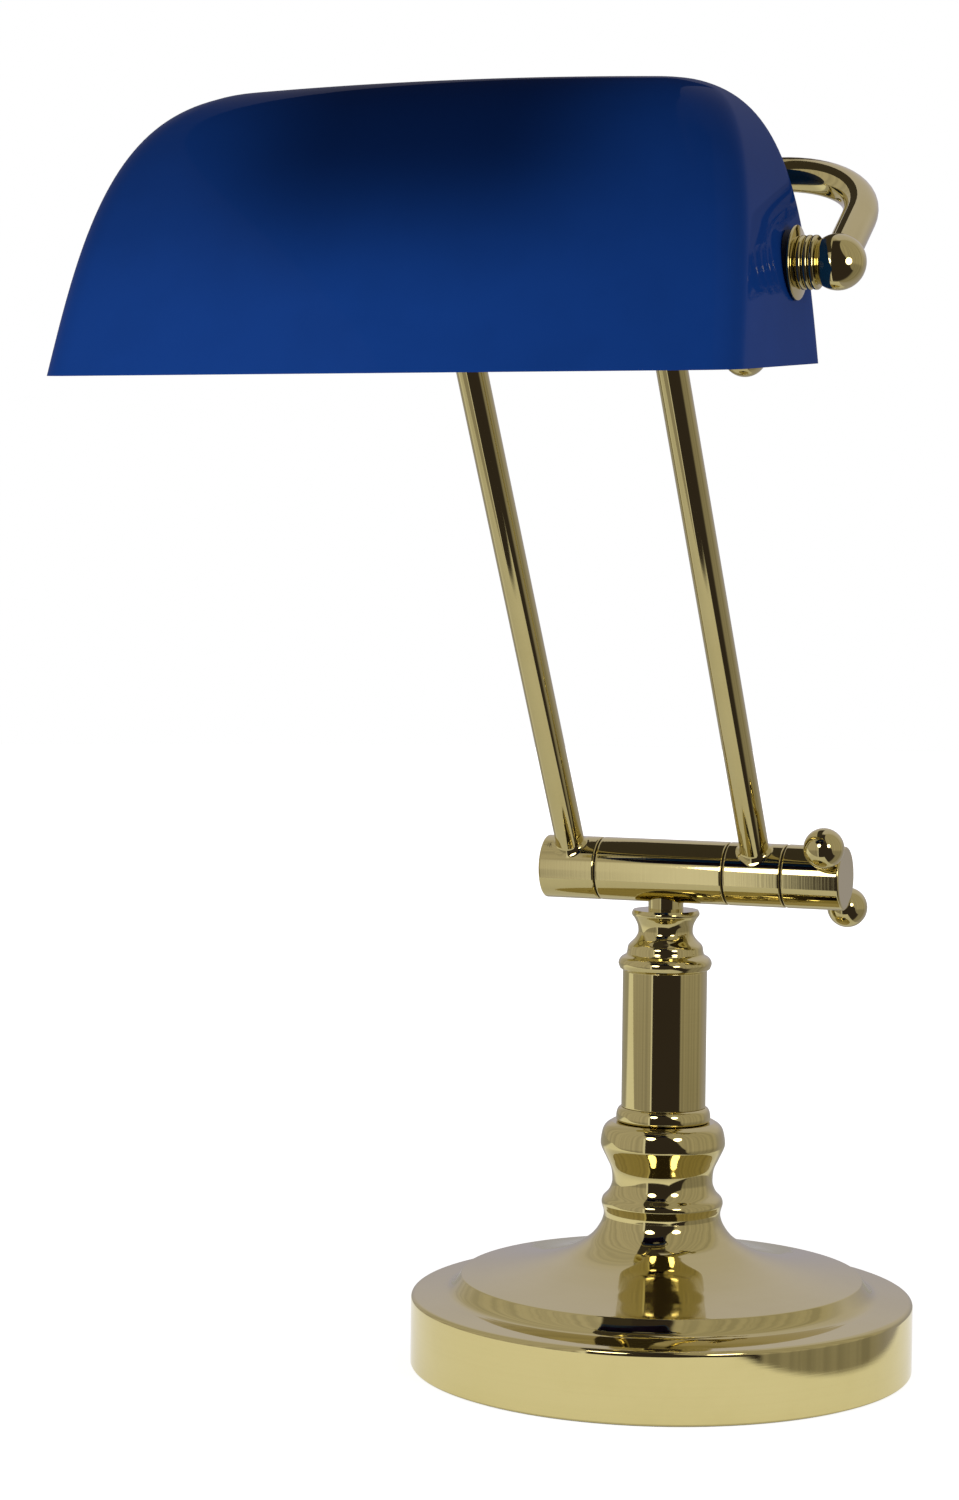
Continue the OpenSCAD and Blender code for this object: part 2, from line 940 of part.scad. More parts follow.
module lampholder_shell() {
    color("saddlebrown")
        translate(shade_axis)
            difference() {
                bar_x(holder_x, lock_nut_x, holder_d);
                bar_x(holder_x - cut, lock_nut_x - holder_floor, holder_d - 2 * holder_wall);
                bar_x(holder_x, lock_nut_x + cut, pipe_d + 2 * fit_gap);
            }
}

module lampholder_core() {
    core_d = holder_d - 2 * holder_wall - 2 * fit_gap;
    core_x = lock_nut_x - holder_floor - core_h;
    color("ivory")
        translate(shade_axis)
            difference() {
                bar_x(core_x, core_x + core_h, core_d);
                bar_x(core_x - cut, core_x + core_h - core_floor, screw_d + 4 * fit_gap);
                bar_x(core_x, core_x + core_h + cut, contact_d);
            }
}

// Screw cap of the bulb, seated on the floor of the holder
cap_len = 25;
cap_floor = 2;
cap_wall = 0.5;
bulb_seat_x = lock_nut_x - holder_floor - core_floor;
bulb_neck_x = bulb_seat_x - cap_len;

module bulb_cap() {
    color("silver")
        translate(shade_axis)
            difference() {
                bar_x(bulb_neck_x, bulb_seat_x, screw_d);
                bar_x(bulb_neck_x - cut, bulb_seat_x - cap_floor, screw_d - 2 * cap_wall);
            }
}

// Glass of the bulb, from its neck to its rounded tip
bulb_neck_r = screw_d / 2 - cap_wall - 0.1;
function bulb_outline(inset) = spline([
    [bulb_neck_r - inset, 0],
    [bulb_neck_r + 0.4 - inset, 0.05 * bulb_len],
    [0.36 * bulb_d - inset, 0.2 * bulb_len],
    [bulb_d / 2 - inset, 0.5 * bulb_len],
    [0.4 * bulb_d - inset, 0.76 * bulb_len],
    [0.2 * bulb_d - inset, 0.94 * bulb_len],
    [1.2 - 0.5 * inset, bulb_len - inset]
]);

module bulb_glass() {
    glass = 0.8;
    color("white")
        translate(shade_axis + [bulb_neck_x, 0, 0])
            rotate([0, -90, 0])
                difference() {
                    turned(bulb_outline(0), 0);
                    turned(bulb_outline(glass), 0);
                    translate([0, 0, -cut])
                        cylinder(h = 2 * cut, r = bulb_neck_r - glass);
                }
}

// Share of a wall's run that is left at a height share, straight lean mixed with a round top
function wall_share(share, lean, power) =
    lean * (1 - share) + (1 - lean) * pow(1 - pow(share, power), 1 / power);
function shade_half(share) =
    crest_len / 2 + (shade_len - crest_len) / 2 * wall_share(share, end_lean, end_power);
// Half length inside the glass at a height above the bottom edge
function shade_inner_half(z) = shade_half(z / (shade_h - glass_wall)) - glass_wall;
function shade_front(share) = crest_y * (1 - wall_share(share, front_lean, front_power));
function shade_back(share) =
    crest_y + (shade_depth - crest_y) * wall_share(share, back_lean, back_power);
function level_share(level) = top_share * sin(90 * level / levels);

// One level of the shade seen from above, a rounded rectangle drawn in by an inset
function shade_ring(share, inset, z) = let (
    half = shade_half(share) - inset,
    front = shade_front(share) + inset,
    back = shade_back(share) - inset,
    r = min(corner_r - inset / 2, 0.49 * (back - front))
) [for (corner = [0 : 3], k = [0 : corner_steps]) let (turn = 90 * (corner + k / corner_steps))
    [(corner == 0 || corner == 3 ? 1 : -1) * (half - r) + r * cos(turn),
        (corner < 2 ? back - r : front + r) + r * sin(turn), z]];

// Glass of the shade: outer levels going up, then inner levels coming down
module shade_glass() {
    count = 4 * (corner_steps + 1);
    outer = [for (i = [0 : levels]) shade_ring(level_share(i), 0, shade_h * level_share(i))];
    inner = [for (i = [levels : -1 : 0])
        shade_ring(level_share(i), glass_wall, (shade_h - glass_wall) * level_share(i))];
    rings = len(outer) + len(inner);
    points = [for (ring = concat(outer, inner), p = ring) p];
    walls = [for (i = [0 : rings - 1], k = [0 : count - 1], half = [0, 1])
        if (i != levels) let (
            a = i * count + k,
            b = i * count + (k + 1) % count,
            c = ((i + 1) % rings) * count + k,
            d = ((i + 1) % rings) * count + (k + 1) % count
        ) half == 0 ? [a, c, d] : [a, d, b]];
    top = [for (k = [0 : count - 1]) (levels + 1) * count - 1 - k];
    ceiling = [for (k = [0 : count - 1]) (levels + 1) * count + k];
    polyhedron(points = points, faces = concat(walls, [top], [ceiling]));
}

// Puts the shade's own frame on the shade axis
module at_shade() {
    translate(shade_axis)
        rotate([shade_tilt, 0, 0])
            translate([0, -hole_y, -hole_z])
                children();
}

module glass_shade() {
    color("navy")
        at_shade()
            difference() {
                shade_glass();
                translate([0, hole_y, hole_z])
                    bar_x(-shade_len, shade_len, pipe_d + 4 * glass_gap);
            }
}

// Gasket on the +X end between two places along X, trimmed to the slope of the glass
module gasket(from, to, glass_x, angle, side) {
    difference() {
        bar_x(from, to, gasket_d);
        bar_x(from - cut, to + cut, pipe_d + 4 * glass_gap);
        translate([glass_x + side * glass_gap, 0, 0])
            rotate([0, -angle, 0])
                translate([side > 0 ? -gasket_d : 0, -gasket_d, -gasket_d])
                    cube([gasket_d, 2 * gasket_d, 2 * gasket_d]);
    }
}

module outer_gaskets() {
    color(rubber)
        at_shade()
            for (side = [0, 1])
                translate([0, hole_y, hole_z])
                    mirror([side, 0, 0])
                        gasket(hole_x - gasket_reach, flange_x, hole_x, hole_angle, 1);
}

module inner_gaskets() {
    gasket_x = inner_washer_x + inner_washer_h;
    color(rubber)
        at_shade()
            for (side = [0, 1])
                translate([0, hole_y, hole_z])
                    mirror([side, 0, 0])
                        gasket(gasket_x, glass_in_x + gasket_reach, glass_in_x, inner_angle, -1);
}

base_cover();
base_weight();
base_felt();
base_washer();
base_nut();
centre_pipe();
cord_bushing();
stem_baluster();
stem_collar();
column_tube();
column_cap();
neck_spacer();
lower_hub();
lower_left_collar();
lower_right_collar();
upper_left_collar();
upper_right_collar();
left_arm();
right_arm();
lower_bolt();
upper_bolt();
lower_washers();
upper_washers();
lower_knob();
lower_knob_bar();
lower_knob_balls();
upper_knob();
upper_knob_bar();
upper_knob_balls();
upper_hub();
yoke_post();
yoke_tube();
left_yoke_ball();
right_yoke_ball();
left_ring_nut();
right_ring_nut();
left_flange();
right_flange();
left_nipple();
right_nipple();
inner_washers();
lock_nuts();
lampholder_shell();
lampholder_core();
bulb_cap();
bulb_glass();
glass_shade();
outer_gaskets();
inner_gaskets();
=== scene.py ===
import json
import math

import bmesh
import bpy
from mathutils import Matrix, Vector


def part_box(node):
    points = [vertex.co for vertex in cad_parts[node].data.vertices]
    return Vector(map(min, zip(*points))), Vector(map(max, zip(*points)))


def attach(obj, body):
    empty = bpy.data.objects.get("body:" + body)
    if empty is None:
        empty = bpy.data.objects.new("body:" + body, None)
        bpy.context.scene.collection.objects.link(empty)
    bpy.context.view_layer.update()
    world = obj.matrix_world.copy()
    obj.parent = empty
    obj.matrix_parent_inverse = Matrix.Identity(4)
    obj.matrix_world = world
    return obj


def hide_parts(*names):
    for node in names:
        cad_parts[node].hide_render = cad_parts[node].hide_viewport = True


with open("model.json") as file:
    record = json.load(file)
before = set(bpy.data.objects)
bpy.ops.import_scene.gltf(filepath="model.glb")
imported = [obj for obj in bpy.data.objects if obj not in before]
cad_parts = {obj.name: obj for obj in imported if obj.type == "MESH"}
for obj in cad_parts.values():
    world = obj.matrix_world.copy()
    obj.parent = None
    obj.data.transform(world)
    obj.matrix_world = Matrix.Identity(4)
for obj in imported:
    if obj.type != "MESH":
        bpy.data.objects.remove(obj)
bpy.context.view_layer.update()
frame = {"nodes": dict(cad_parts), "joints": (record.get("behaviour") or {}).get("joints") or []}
scene = bpy.context.scene
mm = 0.001

# pivots in millimetres, as every outline below
pivotOf = {joint["name"]: Vector(joint["pos_m"]) / mm for joint in frame["joints"]}
lowerPivot = pivotOf["arm_tilt"]
upperPivot = pivotOf["head_tilt"]
shadeAxis = pivotOf["shade_tilt"]
armLean = math.atan2(lowerPivot.y - upperPivot.y, upperPivot.z - lowerPivot.z)
armLength = (upperPivot - lowerPivot).length


def boxMm(node):
    low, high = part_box(node)
    return low / mm, high / mm


# camera, floor and studio

cameraSettings = {"place": (389.0, -1241.6, 314.1), "swing": 17.4, "yaw": -3.152, "pitch": 3.45,
                  "roll": 0.54, "lens": 82.12}


def turnedPair(a, b, turn):
    return a * math.cos(turn) + b * math.sin(turn), b * math.cos(turn) - a * math.sin(turn)


def addCamera(s):
    swing, yaw, pitch, roll = (math.radians(s[key]) for key in ("swing", "yaw", "pitch", "roll"))
    ahead = Vector((-math.sin(swing), math.cos(swing), 0))
    side = Vector((math.cos(swing), math.sin(swing), 0))
    up = Vector((0, 0, 1))
    ahead, side = turnedPair(ahead, side, yaw)
    up, ahead = turnedPair(up, ahead, pitch)
    side, up = turnedPair(side, up, roll)
    data = bpy.data.cameras.new("photoCamera")
    data.lens = s["lens"]
    camera = bpy.data.objects.new("photoCamera", data)
    turned = Matrix((side, up, -ahead)).transposed().to_4x4()
    camera.matrix_world = Matrix.Translation(Vector(s["place"]) * mm) @ turned
    scene.collection.objects.link(camera)
    scene.camera = camera


addCamera(cameraSettings)
scene.view_settings.view_transform = "Standard"


def put(tree, kind, inputs=(), **settings):
    node = tree.nodes.new(kind)
    for key, value in settings.items():
        setattr(node, key, value)
    for key, value in dict(inputs).items():
        if isinstance(value, bpy.types.NodeSocket):
            tree.links.new(value, node.inputs[key])
        else:
            node.inputs[key].default_value = value
    return node


def math2(tree, operation, a, b=0.0):
    return put(tree, "ShaderNodeMath", {0: a, 1: b}, operation=operation).outputs[0]


def ramped(tree, value, low, high, start=0.0, end=1.0):
    inputs = {"Value": value, "From Min": low, "From Max": high, "To Min": start, "To Max": end}
    return put(tree, "ShaderNodeMapRange", inputs, interpolation_type="SMOOTHSTEP").outputs["Result"]


def mixed(tree, share, a, b):
    mix = put(tree, "ShaderNodeMix", data_type="RGBA")
    for socket, value in ((mix.inputs[0], share), (mix.inputs[6], a), (mix.inputs[7], b)):
        if isinstance(value, bpy.types.NodeSocket):
            tree.links.new(value, socket)
        else:
            socket.default_value = value
    return mix.outputs[2]


# pale walls all round and a dark opening on the camera's side; backFrom is a turn in degrees, backLow, low
# and leftEdgeTop are rises in degrees, and the opening and the left edge lie along the direction's x
studioSettings = {"leftWall": (0.56, 0.52, 0.51, 1), "rightWall": (0.5, 0.46, 0.42, 1), "seam": 1,
                  "backWall": (0.6, 0.57, 0.67, 1), "backFrom": (125, 150), "backLow": (-4, 24, 0.68),
                  "dark": (0.04, 0.032, 0.034, 1), "opening": (-0.265, 0.87, 0.75), "openingEdge": 0.015,
                  "leftEdge": (0.9, 0.88, 0.95, 1), "leftEdgeFrom": (-0.36, -0.29), "leftEdgeTo": (-0.2, 0),
                  "leftEdgeTop": (22, 30), "frontEdge": 0.1, "low": (-12, -3, 0.68), "foldScale": 0.11,
                  "foldDetail": 3.0, "foldRange": (0.4, 0.62), "streaks": 0.2, "white": 1.0}
black = (0, 0, 0, 1)


def addStudio(s):
    world = bpy.data.worlds.new("studio")
    scene.world = world
    world.use_nodes = True
    tree = world.node_tree
    tree.nodes.clear()
    along = put(tree, "ShaderNodeTexCoord").outputs["Generated"]
    parts = put(tree, "ShaderNodeSeparateXYZ", {0: along}).outputs
    turn = math2(tree, "DEGREES", math2(tree, "ARCTAN2", parts[0], math2(tree, "MULTIPLY", parts[1], -1)))
    rise = math2(tree, "DEGREES", math2(tree, "ARCSINE", parts[2]))
    folds = put(tree, "ShaderNodeTexNoise", {"W": turn, "Scale": s["foldScale"], "Detail": s["foldDetail"]},
                noise_dimensions="1D")
    shade = ramped(tree, folds.outputs[0], *s["foldRange"], 1, 1 - s["streaks"])
    sides = mixed(tree, ramped(tree, turn, -s["seam"], s["seam"]), s["leftWall"], s["rightWall"])
    behind = ramped(tree, math2(tree, "ABSOLUTE", turn), *s["backFrom"])
    low, high, dim = s["backLow"]
    back = mixed(tree, ramped(tree, rise, low, high, dim, 1), black, s["backWall"])
    low, high, dim = s["low"]
    shade = math2(tree, "MULTIPLY", shade, ramped(tree, rise, low, high, dim, 1))
    walls = mixed(tree, behind, mixed(tree, shade, black, sides), back)
    front = ramped(tree, parts[1], -s["frontEdge"], s["frontEdge"], 1, 0)
    bright = math2(tree, "MULTIPLY", ramped(tree, parts[0], *s["leftEdgeFrom"]), front)
    bright = math2(tree, "MULTIPLY", bright, ramped(tree, rise, *s["leftEdgeTop"], 1, 0))
    bright = math2(tree, "MULTIPLY", bright, ramped(tree, parts[0], *s["leftEdgeTo"], 1, 0))
    walls = mixed(tree, bright, walls, s["leftEdge"])
    # the opening grows narrower on its right side as it rises
    start, end, narrower = s["opening"]
    edge = s["openingEdge"]
    opened = ramped(tree, parts[0], start - edge, start + edge)
    raised = math2(tree, "MAXIMUM", parts[2], 0)
    lean = math2(tree, "ADD", parts[0], math2(tree, "MULTIPLY", raised, narrower))
    closed = ramped(tree, lean, end - edge, end + edge, 1, 0)
    dark = math2(tree, "MULTIPLY", math2(tree, "MULTIPLY", opened, closed), front)
    tent = mixed(tree, dark, walls, s["dark"])
    path = put(tree, "ShaderNodeLightPath").outputs
    seen = mixed(tree, path["Is Camera Ray"], tent, (s["white"],) * 3 + (1,))
    light = put(tree, "ShaderNodeBackground", {"Color": seen, "Strength": 1.0})
    put(tree, "ShaderNodeOutputWorld", {"Surface": light.outputs[0]})


addStudio(studioSettings)

lampSettings = {"places": ((-65, -560, 390), (462, -440, 390)), "size": 190, "power": 0.62,
                "colour": (1, 0.93, 0.92), "aim": (0, -60, 230)}


def addLamps(s):
    for place in s["places"]:
        data = bpy.data.lights.new("softbox", "AREA")
        data.shape = "DISK"
        data.size = s["size"] * mm
        data.energy = s["power"]
        data.color = s["colour"]
        lamp = bpy.data.objects.new("softbox", data)
        turned = (Vector(place) - Vector(s["aim"])).to_track_quat("Z", "Y").to_matrix().to_4x4()
        lamp.matrix_world = Matrix.Translation(Vector(place) * mm) @ turned
        lamp.visible_camera = False
        scene.collection.objects.link(lamp)


addLamps(lampSettings)

# dark flag overhead, which the lamps shine past
flagSettings = {"across": (-255, -20), "along": (-800, 465), "height": 800, "dark": (0.05, 0.042, 0.038, 1)}


def addFlag(s):
    (left, right), (front, back) = s["across"], s["along"]
    corners = ((left, front), (right, front), (right, back), (left, back))
    mesh = bpy.data.meshes.new("ceilingFlag")
    mesh.from_pydata([(x * mm, y * mm, s["height"] * mm) for x, y in corners], [], [(3, 2, 1, 0)])
    flag = bpy.data.objects.new("ceilingFlag", mesh)
    scene.collection.objects.link(flag)
    material = bpy.data.materials.new("darkFlag")
    material.use_nodes = True
    material.node_tree.nodes.clear()
    cloth = put(material.node_tree, "ShaderNodeEmission", {"Color": s["dark"], "Strength": 1.0})
    put(material.node_tree, "ShaderNodeOutputMaterial", {"Surface": cloth.outputs[0]})
    mesh.materials.append(material)
    flag.visible_camera = False
    flag.visible_shadow = False
    flag.visible_transmission = False


addFlag(flagSettings)

# the pale sheet under the lamp ends near its front and right, and mirrors in the brass show the room beyond
floorSettings = {"radius": 4000, "sides": 64, "glow": 0.68, "lit": 0.15, "colour": (0.5, 0.5, 0.5, 1),
                 "front": (-215, -235), "right": (135, 150), "far": (260, 800, 0.3), "back": (110, 240, 0.5),
                 "shadeWhenSteep": (0.4, 0.75, 0.3, 0)}


def addFloor(s):
    mesh = bpy.data.meshes.new("floor")
    radius, sides = s["radius"] * mm, s["sides"]
    turns = [2 * math.pi * k / sides for k in range(sides)]
    mesh.from_pydata([(radius * math.cos(t), radius * math.sin(t), 0) for t in turns], [], [range(sides)])
    floor = bpy.data.objects.new("floor", mesh)
    scene.collection.objects.link(floor)
    material = bpy.data.materials.new("paleFloor")
    material.use_nodes = True
    tree = material.node_tree
    tree.nodes.clear()
    path = put(tree, "ShaderNodeLightPath").outputs
    seen = math2(tree, "MAXIMUM", path["Is Camera Ray"],
                 math2(tree, "MAXIMUM", path["Is Glossy Ray"], path["Is Transmission Ray"]))
    at = put(tree, "ShaderNodeTexCoord").outputs["Object"]
    away = put(tree, "ShaderNodeVectorMath", {0: at}, operation="LENGTH").outputs["Value"]
    near, far, more = s["far"]
    lit = ramped(tree, away, near * mm, far * mm, s["lit"], s["lit"] + more)
    place = put(tree, "ShaderNodeSeparateXYZ", {0: at}).outputs
    # painted shade, in glossy rays only: the floor looks dimmer behind the lamp, and dimmer where rays meet
    # it steeply, which paints the shadow of the lamp's shade
    near, far, less = s["back"]
    facing = put(tree, "ShaderNodeLayerWeight", {"Blend": 0.5}).outputs["Facing"]
    dim = math2(tree, "MAXIMUM", ramped(tree, place[1], near * mm, far * mm, 0, less),
                ramped(tree, facing, *s["shadeWhenSteep"]))
    dim = math2(tree, "MULTIPLY", dim, path["Is Glossy Ray"])
    strength = math2(tree, "ADD", math2(tree, "MULTIPLY", seen, math2(tree, "SUBTRACT", s["glow"], dim)),
                     math2(tree, "MULTIPLY", path["Is Camera Ray"], lit))
    glow = put(tree, "ShaderNodeEmission", {"Strength": strength})
    matt = put(tree, "ShaderNodeBsdfDiffuse", {"Color": s["colour"]})
    both = put(tree, "ShaderNodeAddShader", {0: glow.outputs[0], 1: matt.outputs[0]})
    front = ramped(tree, place[1], s["front"][1] * mm, s["front"][0] * mm, 1, 0)
    right = ramped(tree, place[0], s["right"][0] * mm, s["right"][1] * mm)
    beyond = math2(tree, "MULTIPLY", math2(tree, "MAXIMUM", front, right), path["Is Glossy Ray"])
    clear = put(tree, "ShaderNodeBsdfTransparent")
    whole = put(tree, "ShaderNodeMixShader", {0: beyond, 1: both.outputs[0], 2: clear.outputs[0]})
    put(tree, "ShaderNodeOutputMaterial", {"Surface": whole.outputs[0]})
    mesh.materials.append(material)


addFloor(floorSettings)
print("camera, studio and floor set")

# finishes

marksSettings = {"patchRange": (0.42, 0.78), "lineRange": (0.35, 0.7), "lineWear": 0.5, "patchHeight": 0.4}


def buildSurfaceMarks(s):
    tree = bpy.data.node_groups.new("surfaceMarks", "ShaderNodeTree")
    wanted = (("Vector", "Vector"), ("Line Vector", "Vector"), ("Colour", "Color"), ("Worn Colour", "Color"),
              ("Roughness", "Float"), ("Dulling", "Float"), ("Patch Scale", "Float"),
              ("Patch Amount", "Float"), ("Line Scale", "Float"), ("Line Amount", "Float"))
    for label, kind in wanted:
        tree.interface.new_socket(label, in_out="INPUT", socket_type="NodeSocket" + kind)
    for label, kind in (("Colour", "Color"), ("Roughness", "Float"), ("Height", "Float")):
        tree.interface.new_socket(label, in_out="OUTPUT", socket_type="NodeSocket" + kind)
    given = put(tree, "NodeGroupInput").outputs
    patch = put(tree, "ShaderNodeTexNoise", {"Vector": given["Vector"], "Scale": given["Patch Scale"],
                                             "Detail": 4.0, "Roughness": 0.6}).outputs[0]
    line = put(tree, "ShaderNodeTexNoise", {"Vector": given["Line Vector"], "Scale": given["Line Scale"],
                                            "Detail": 2.0}).outputs[0]
    worn = math2(tree, "MULTIPLY", ramped(tree, patch, *s["patchRange"]), given["Patch Amount"])
    lined = math2(tree, "MULTIPLY", ramped(tree, line, *s["lineRange"]), given["Line Amount"])
    share = math2(tree, "ADD", worn, math2(tree, "MULTIPLY", lined, s["lineWear"]))
    share = math2(tree, "MINIMUM", share, 1.0)
    colour = mixed(tree, share, given["Colour"], given["Worn Colour"])
    rough = math2(tree, "ADD", given["Roughness"],
                  math2(tree, "MULTIPLY", given["Dulling"], math2(tree, "ADD", worn, lined)))
    height = math2(tree, "ADD", math2(tree, "MULTIPLY", patch, s["patchHeight"]),
                   math2(tree, "MULTIPLY", line, given["Line Amount"]))
    put(tree, "NodeGroupOutput", {"Colour": colour, "Roughness": rough, "Height": height})
    return tree


surfaceMarks = buildSurfaceMarks(marksSettings)


# stretch gives the lines their direction: small along the axes that they cross
def finish(name, s):
    material = bpy.data.materials.new(name)
    material.use_nodes = True
    tree = material.node_tree
    tree.nodes.clear()
    at = put(tree, "ShaderNodeTexCoord").outputs["Object"]
    across = put(tree, "ShaderNodeMapping", {"Vector": at, "Rotation": s.get("turn", (0, 0, 0)),
                                             "Scale": s.get("stretch", (1, 1, 1))}, vector_type="TEXTURE")
    values = {"Vector": at, "Line Vector": across.outputs[0], "Colour": s["colour"] + (1,),
              "Worn Colour": s["worn"] + (1,), "Roughness": s["roughness"], "Dulling": s["dulling"],
              "Patch Scale": s["patch"][0], "Patch Amount": s["patch"][1], "Line Scale": s["line"][0],
              "Line Amount": s["line"][1]}
    marks = put(tree, "ShaderNodeGroup", values, node_tree=surfaceMarks)
    bump = put(tree, "ShaderNodeBump", {"Height": marks.outputs["Height"], "Strength": s["bump"][0],
                                        "Distance": s["bump"][1]})
    inputs = {"Base Color": marks.outputs["Colour"], "Roughness": marks.outputs["Roughness"],
              "Normal": bump.outputs[0], "Metallic": s.get("metallic", 0.0)}
    inputs.update(s.get("shader", {}))
    shader = put(tree, "ShaderNodeBsdfPrincipled", inputs)
    put(tree, "ShaderNodeOutputMaterial", {"Surface": shader.outputs[0]})
    return material


polish = {"colour": (0.63, 0.55, 0.25), "worn": (0.58, 0.5, 0.21), "roughness": 0.04, "dulling": 0.05,
          "patch": (26.0, 0.5), "line": (1.0, 0.25), "bump": (0.04, 0.0004), "metallic": 1.0}
brassStem = finish("brassStem", {**polish, "stretch": (0.2, 0.2, 0.0009)})
brassBarrel = finish("brassBarrel", {**polish, "stretch": (0.0009, 0.2, 0.2)})
brassArm = finish("brassArm", {**polish, "turn": (armLean, 0, 0), "stretch": (0.0012, 0.0012, 0.3)})
brassYoke = finish("brassYoke", {**polish, "stretch": (0.01, 0.01, 0.01)})
zincSteel = finish("zincSteel", {"colour": (0.52, 0.52, 0.53), "worn": (0.38, 0.37, 0.36), "roughness": 0.28,
                                 "dulling": 0.2, "patch": (160.0, 0.7), "line": (1.0, 0.4),
                                 "bump": (0.2, 0.0003), "stretch": (0.0006, 0.02, 0.02), "metallic": 1.0})
greyIron = finish("greyIron", {"colour": (0.05, 0.05, 0.052), "worn": (0.11, 0.075, 0.05), "roughness": 0.62,
                               "dulling": 0.2, "patch": (70.0, 0.8), "line": (400.0, 0.6),
                               "bump": (0.6, 0.0012)})
greenFelt = finish("greenFelt", {"colour": (0.012, 0.06, 0.03), "worn": (0.03, 0.1, 0.055), "roughness": 0.9,
                                 "dulling": 0.08, "patch": (120.0, 0.6), "line": (2600.0, 0.8),
                                 "bump": (0.8, 0.0006), "shader": {"Sheen Weight": 0.4}})
blackRubber = finish("blackRubber", {"colour": (0.012, 0.012, 0.013), "worn": (0.03, 0.03, 0.03),
                                     "roughness": 0.55, "dulling": 0.2, "patch": (300.0, 0.6),
                                     "line": (1500.0, 0.4), "bump": (0.3, 0.0002)})
darkFibre = finish("darkFibre", {"colour": (0.03, 0.022, 0.016), "worn": (0.06, 0.045, 0.03),
                                 "roughness": 0.7, "dulling": 0.15, "patch": (300.0, 0.7),
                                 "line": (1800.0, 0.6), "bump": (0.4, 0.0002)})
brownPlastic = finish("brownPlastic", {"colour": (0.022, 0.011, 0.007), "worn": (0.045, 0.024, 0.014),
                                       "roughness": 0.22, "dulling": 0.18, "patch": (120.0, 0.6),
                                       "line": (900.0, 0.3), "bump": (0.12, 0.0002)})
creamPorcelain = finish("creamPorcelain", {"colour": (0.76, 0.72, 0.62), "worn": (0.62, 0.56, 0.45),
                                           "roughness": 0.16, "dulling": 0.2, "patch": (140.0, 0.5),
                                           "line": (700.0, 0.2), "bump": (0.1, 0.0002),
                                           "shader": {"Coat Weight": 0.5}})
opalGlass = finish("opalGlass", {"colour": (0.82, 0.81, 0.77), "worn": (0.74, 0.72, 0.66), "roughness": 0.2,
                                 "dulling": 0.1, "patch": (40.0, 0.6), "line": (300.0, 0.15),
                                 "bump": (0.06, 0.0004),
                                 "shader": {"Subsurface Weight": 0.15, "Subsurface Radius": (0.004,) * 3}})

# painted shade: the glass is coloured darker towards its crest, and more in the middle of its length than at
# its ends; the second colour of each pair is the shaded one
blueSettings = {"low": (0.0065, 0.043, 0.225), "high": (0.002, 0.012, 0.064), "rim": (0.03, 0.1, 0.34),
                "inside": (0.034, 0.022, 0.11), "insideShaded": (0.022, 0.016, 0.07), "shadeStartAt": -14,
                "shadeFullAt": 40, "middle": (25, 85, 1.0, 0.3), "roughness": 0.05,
                "coat": (0.3, 0.75, 0.05, 0.15)}


def cobaltGlass(name, low, high, s):
    material = finish(name, {"colour": low, "worn": high, "roughness": s["roughness"], "dulling": 0.02,
                             "patch": (9.0, 0.12), "line": (60.0, 0.1), "bump": (0.05, 0.0006),
                             "shader": {"Specular IOR Level": 0.0, "Coat Roughness": 0.03}})
    tree = material.node_tree
    marks = next(node for node in tree.nodes if node.type == "GROUP")
    shader = next(node for node in tree.nodes if node.type == "BSDF_PRINCIPLED")
    at = put(tree, "ShaderNodeTexCoord").outputs["Object"]
    tilt = (shadeSettings["tilt"], 0, 0)
    local = put(tree, "ShaderNodeMapping", {"Vector": at, "Location": shadeAxis * mm, "Rotation": tilt},
                vector_type="TEXTURE")
    aside, _, up = put(tree, "ShaderNodeSeparateXYZ", {0: local.outputs[0]}).outputs
    # painted shade, darkest at the crest and in the middle of the length
    near, far, most, least = s["middle"]
    paintedShade = math2(tree, "MULTIPLY", ramped(tree, up, s["shadeStartAt"] * mm, s["shadeFullAt"] * mm),
                 ramped(tree, math2(tree, "ABSOLUTE", aside), near * mm, far * mm, most, least))
    tree.links.new(mixed(tree, paintedShade, marks.outputs["Colour"], high + (1,)), shader.inputs["Base Color"])
    facing = put(tree, "ShaderNodeLayerWeight", {"Blend": 0.5}).outputs["Facing"]
    tree.links.new(ramped(tree, facing, *s["coat"]), shader.inputs["Coat Weight"])
    return material


print("finishes ready")

# outlines and meshes


def smoothLine(points, steps=10):
    points = [Vector(p) for p in points]
    last = len(points) - 1
    line = []
    for i in range(last):
        a, b, c, d = points[max(i - 1, 0)], points[i], points[i + 1], points[min(i + 2, last)]
        for k in range(steps):
            u = k / steps
            line.append(0.5 * (2 * b + (c - a) * u + (2 * a - 5 * b + 4 * c - d) * u ** 2
                               + (3 * b - a - 3 * c + d) * u ** 3))
    return line + [points[last]]


# rounds the corners (x, y, radius) of an outline
def filleted(corners, loop=True, steps=5):
    count = len(corners)
    line = []
    for i, (x, y, radius) in enumerate(corners):
        here = Vector((x, y))
        if radius <= 0 or (not loop and i in (0, count - 1)):
            line.append(here)
            continue
        back = (Vector(corners[i - 1][:2]) - here).normalized()
        ahead = (Vector(corners[(i + 1) % count][:2]) - here).normalized()
        half = back.angle(ahead) / 2
        centre = here + (back + ahead).normalized() * radius / math.sin(half)
        start = here + back * radius / math.tan(half) - centre
        end = here + ahead * radius / math.tan(half) - centre
        sweep = math.pi - 2 * half
        for k in range(steps + 1):
            t = k / steps
            turned = start * math.sin((1 - t) * sweep) + end * math.sin(t * sweep)
            line.append(centre + turned / math.sin(sweep))
    return line


def arc(centre, radius, start, end, steps=24):
    turns = [math.radians(start + (end - start) * k / steps) for k in range(steps + 1)]
    return [Vector((centre[0] + radius * math.sin(t), centre[1] + radius * math.cos(t))) for t in turns]


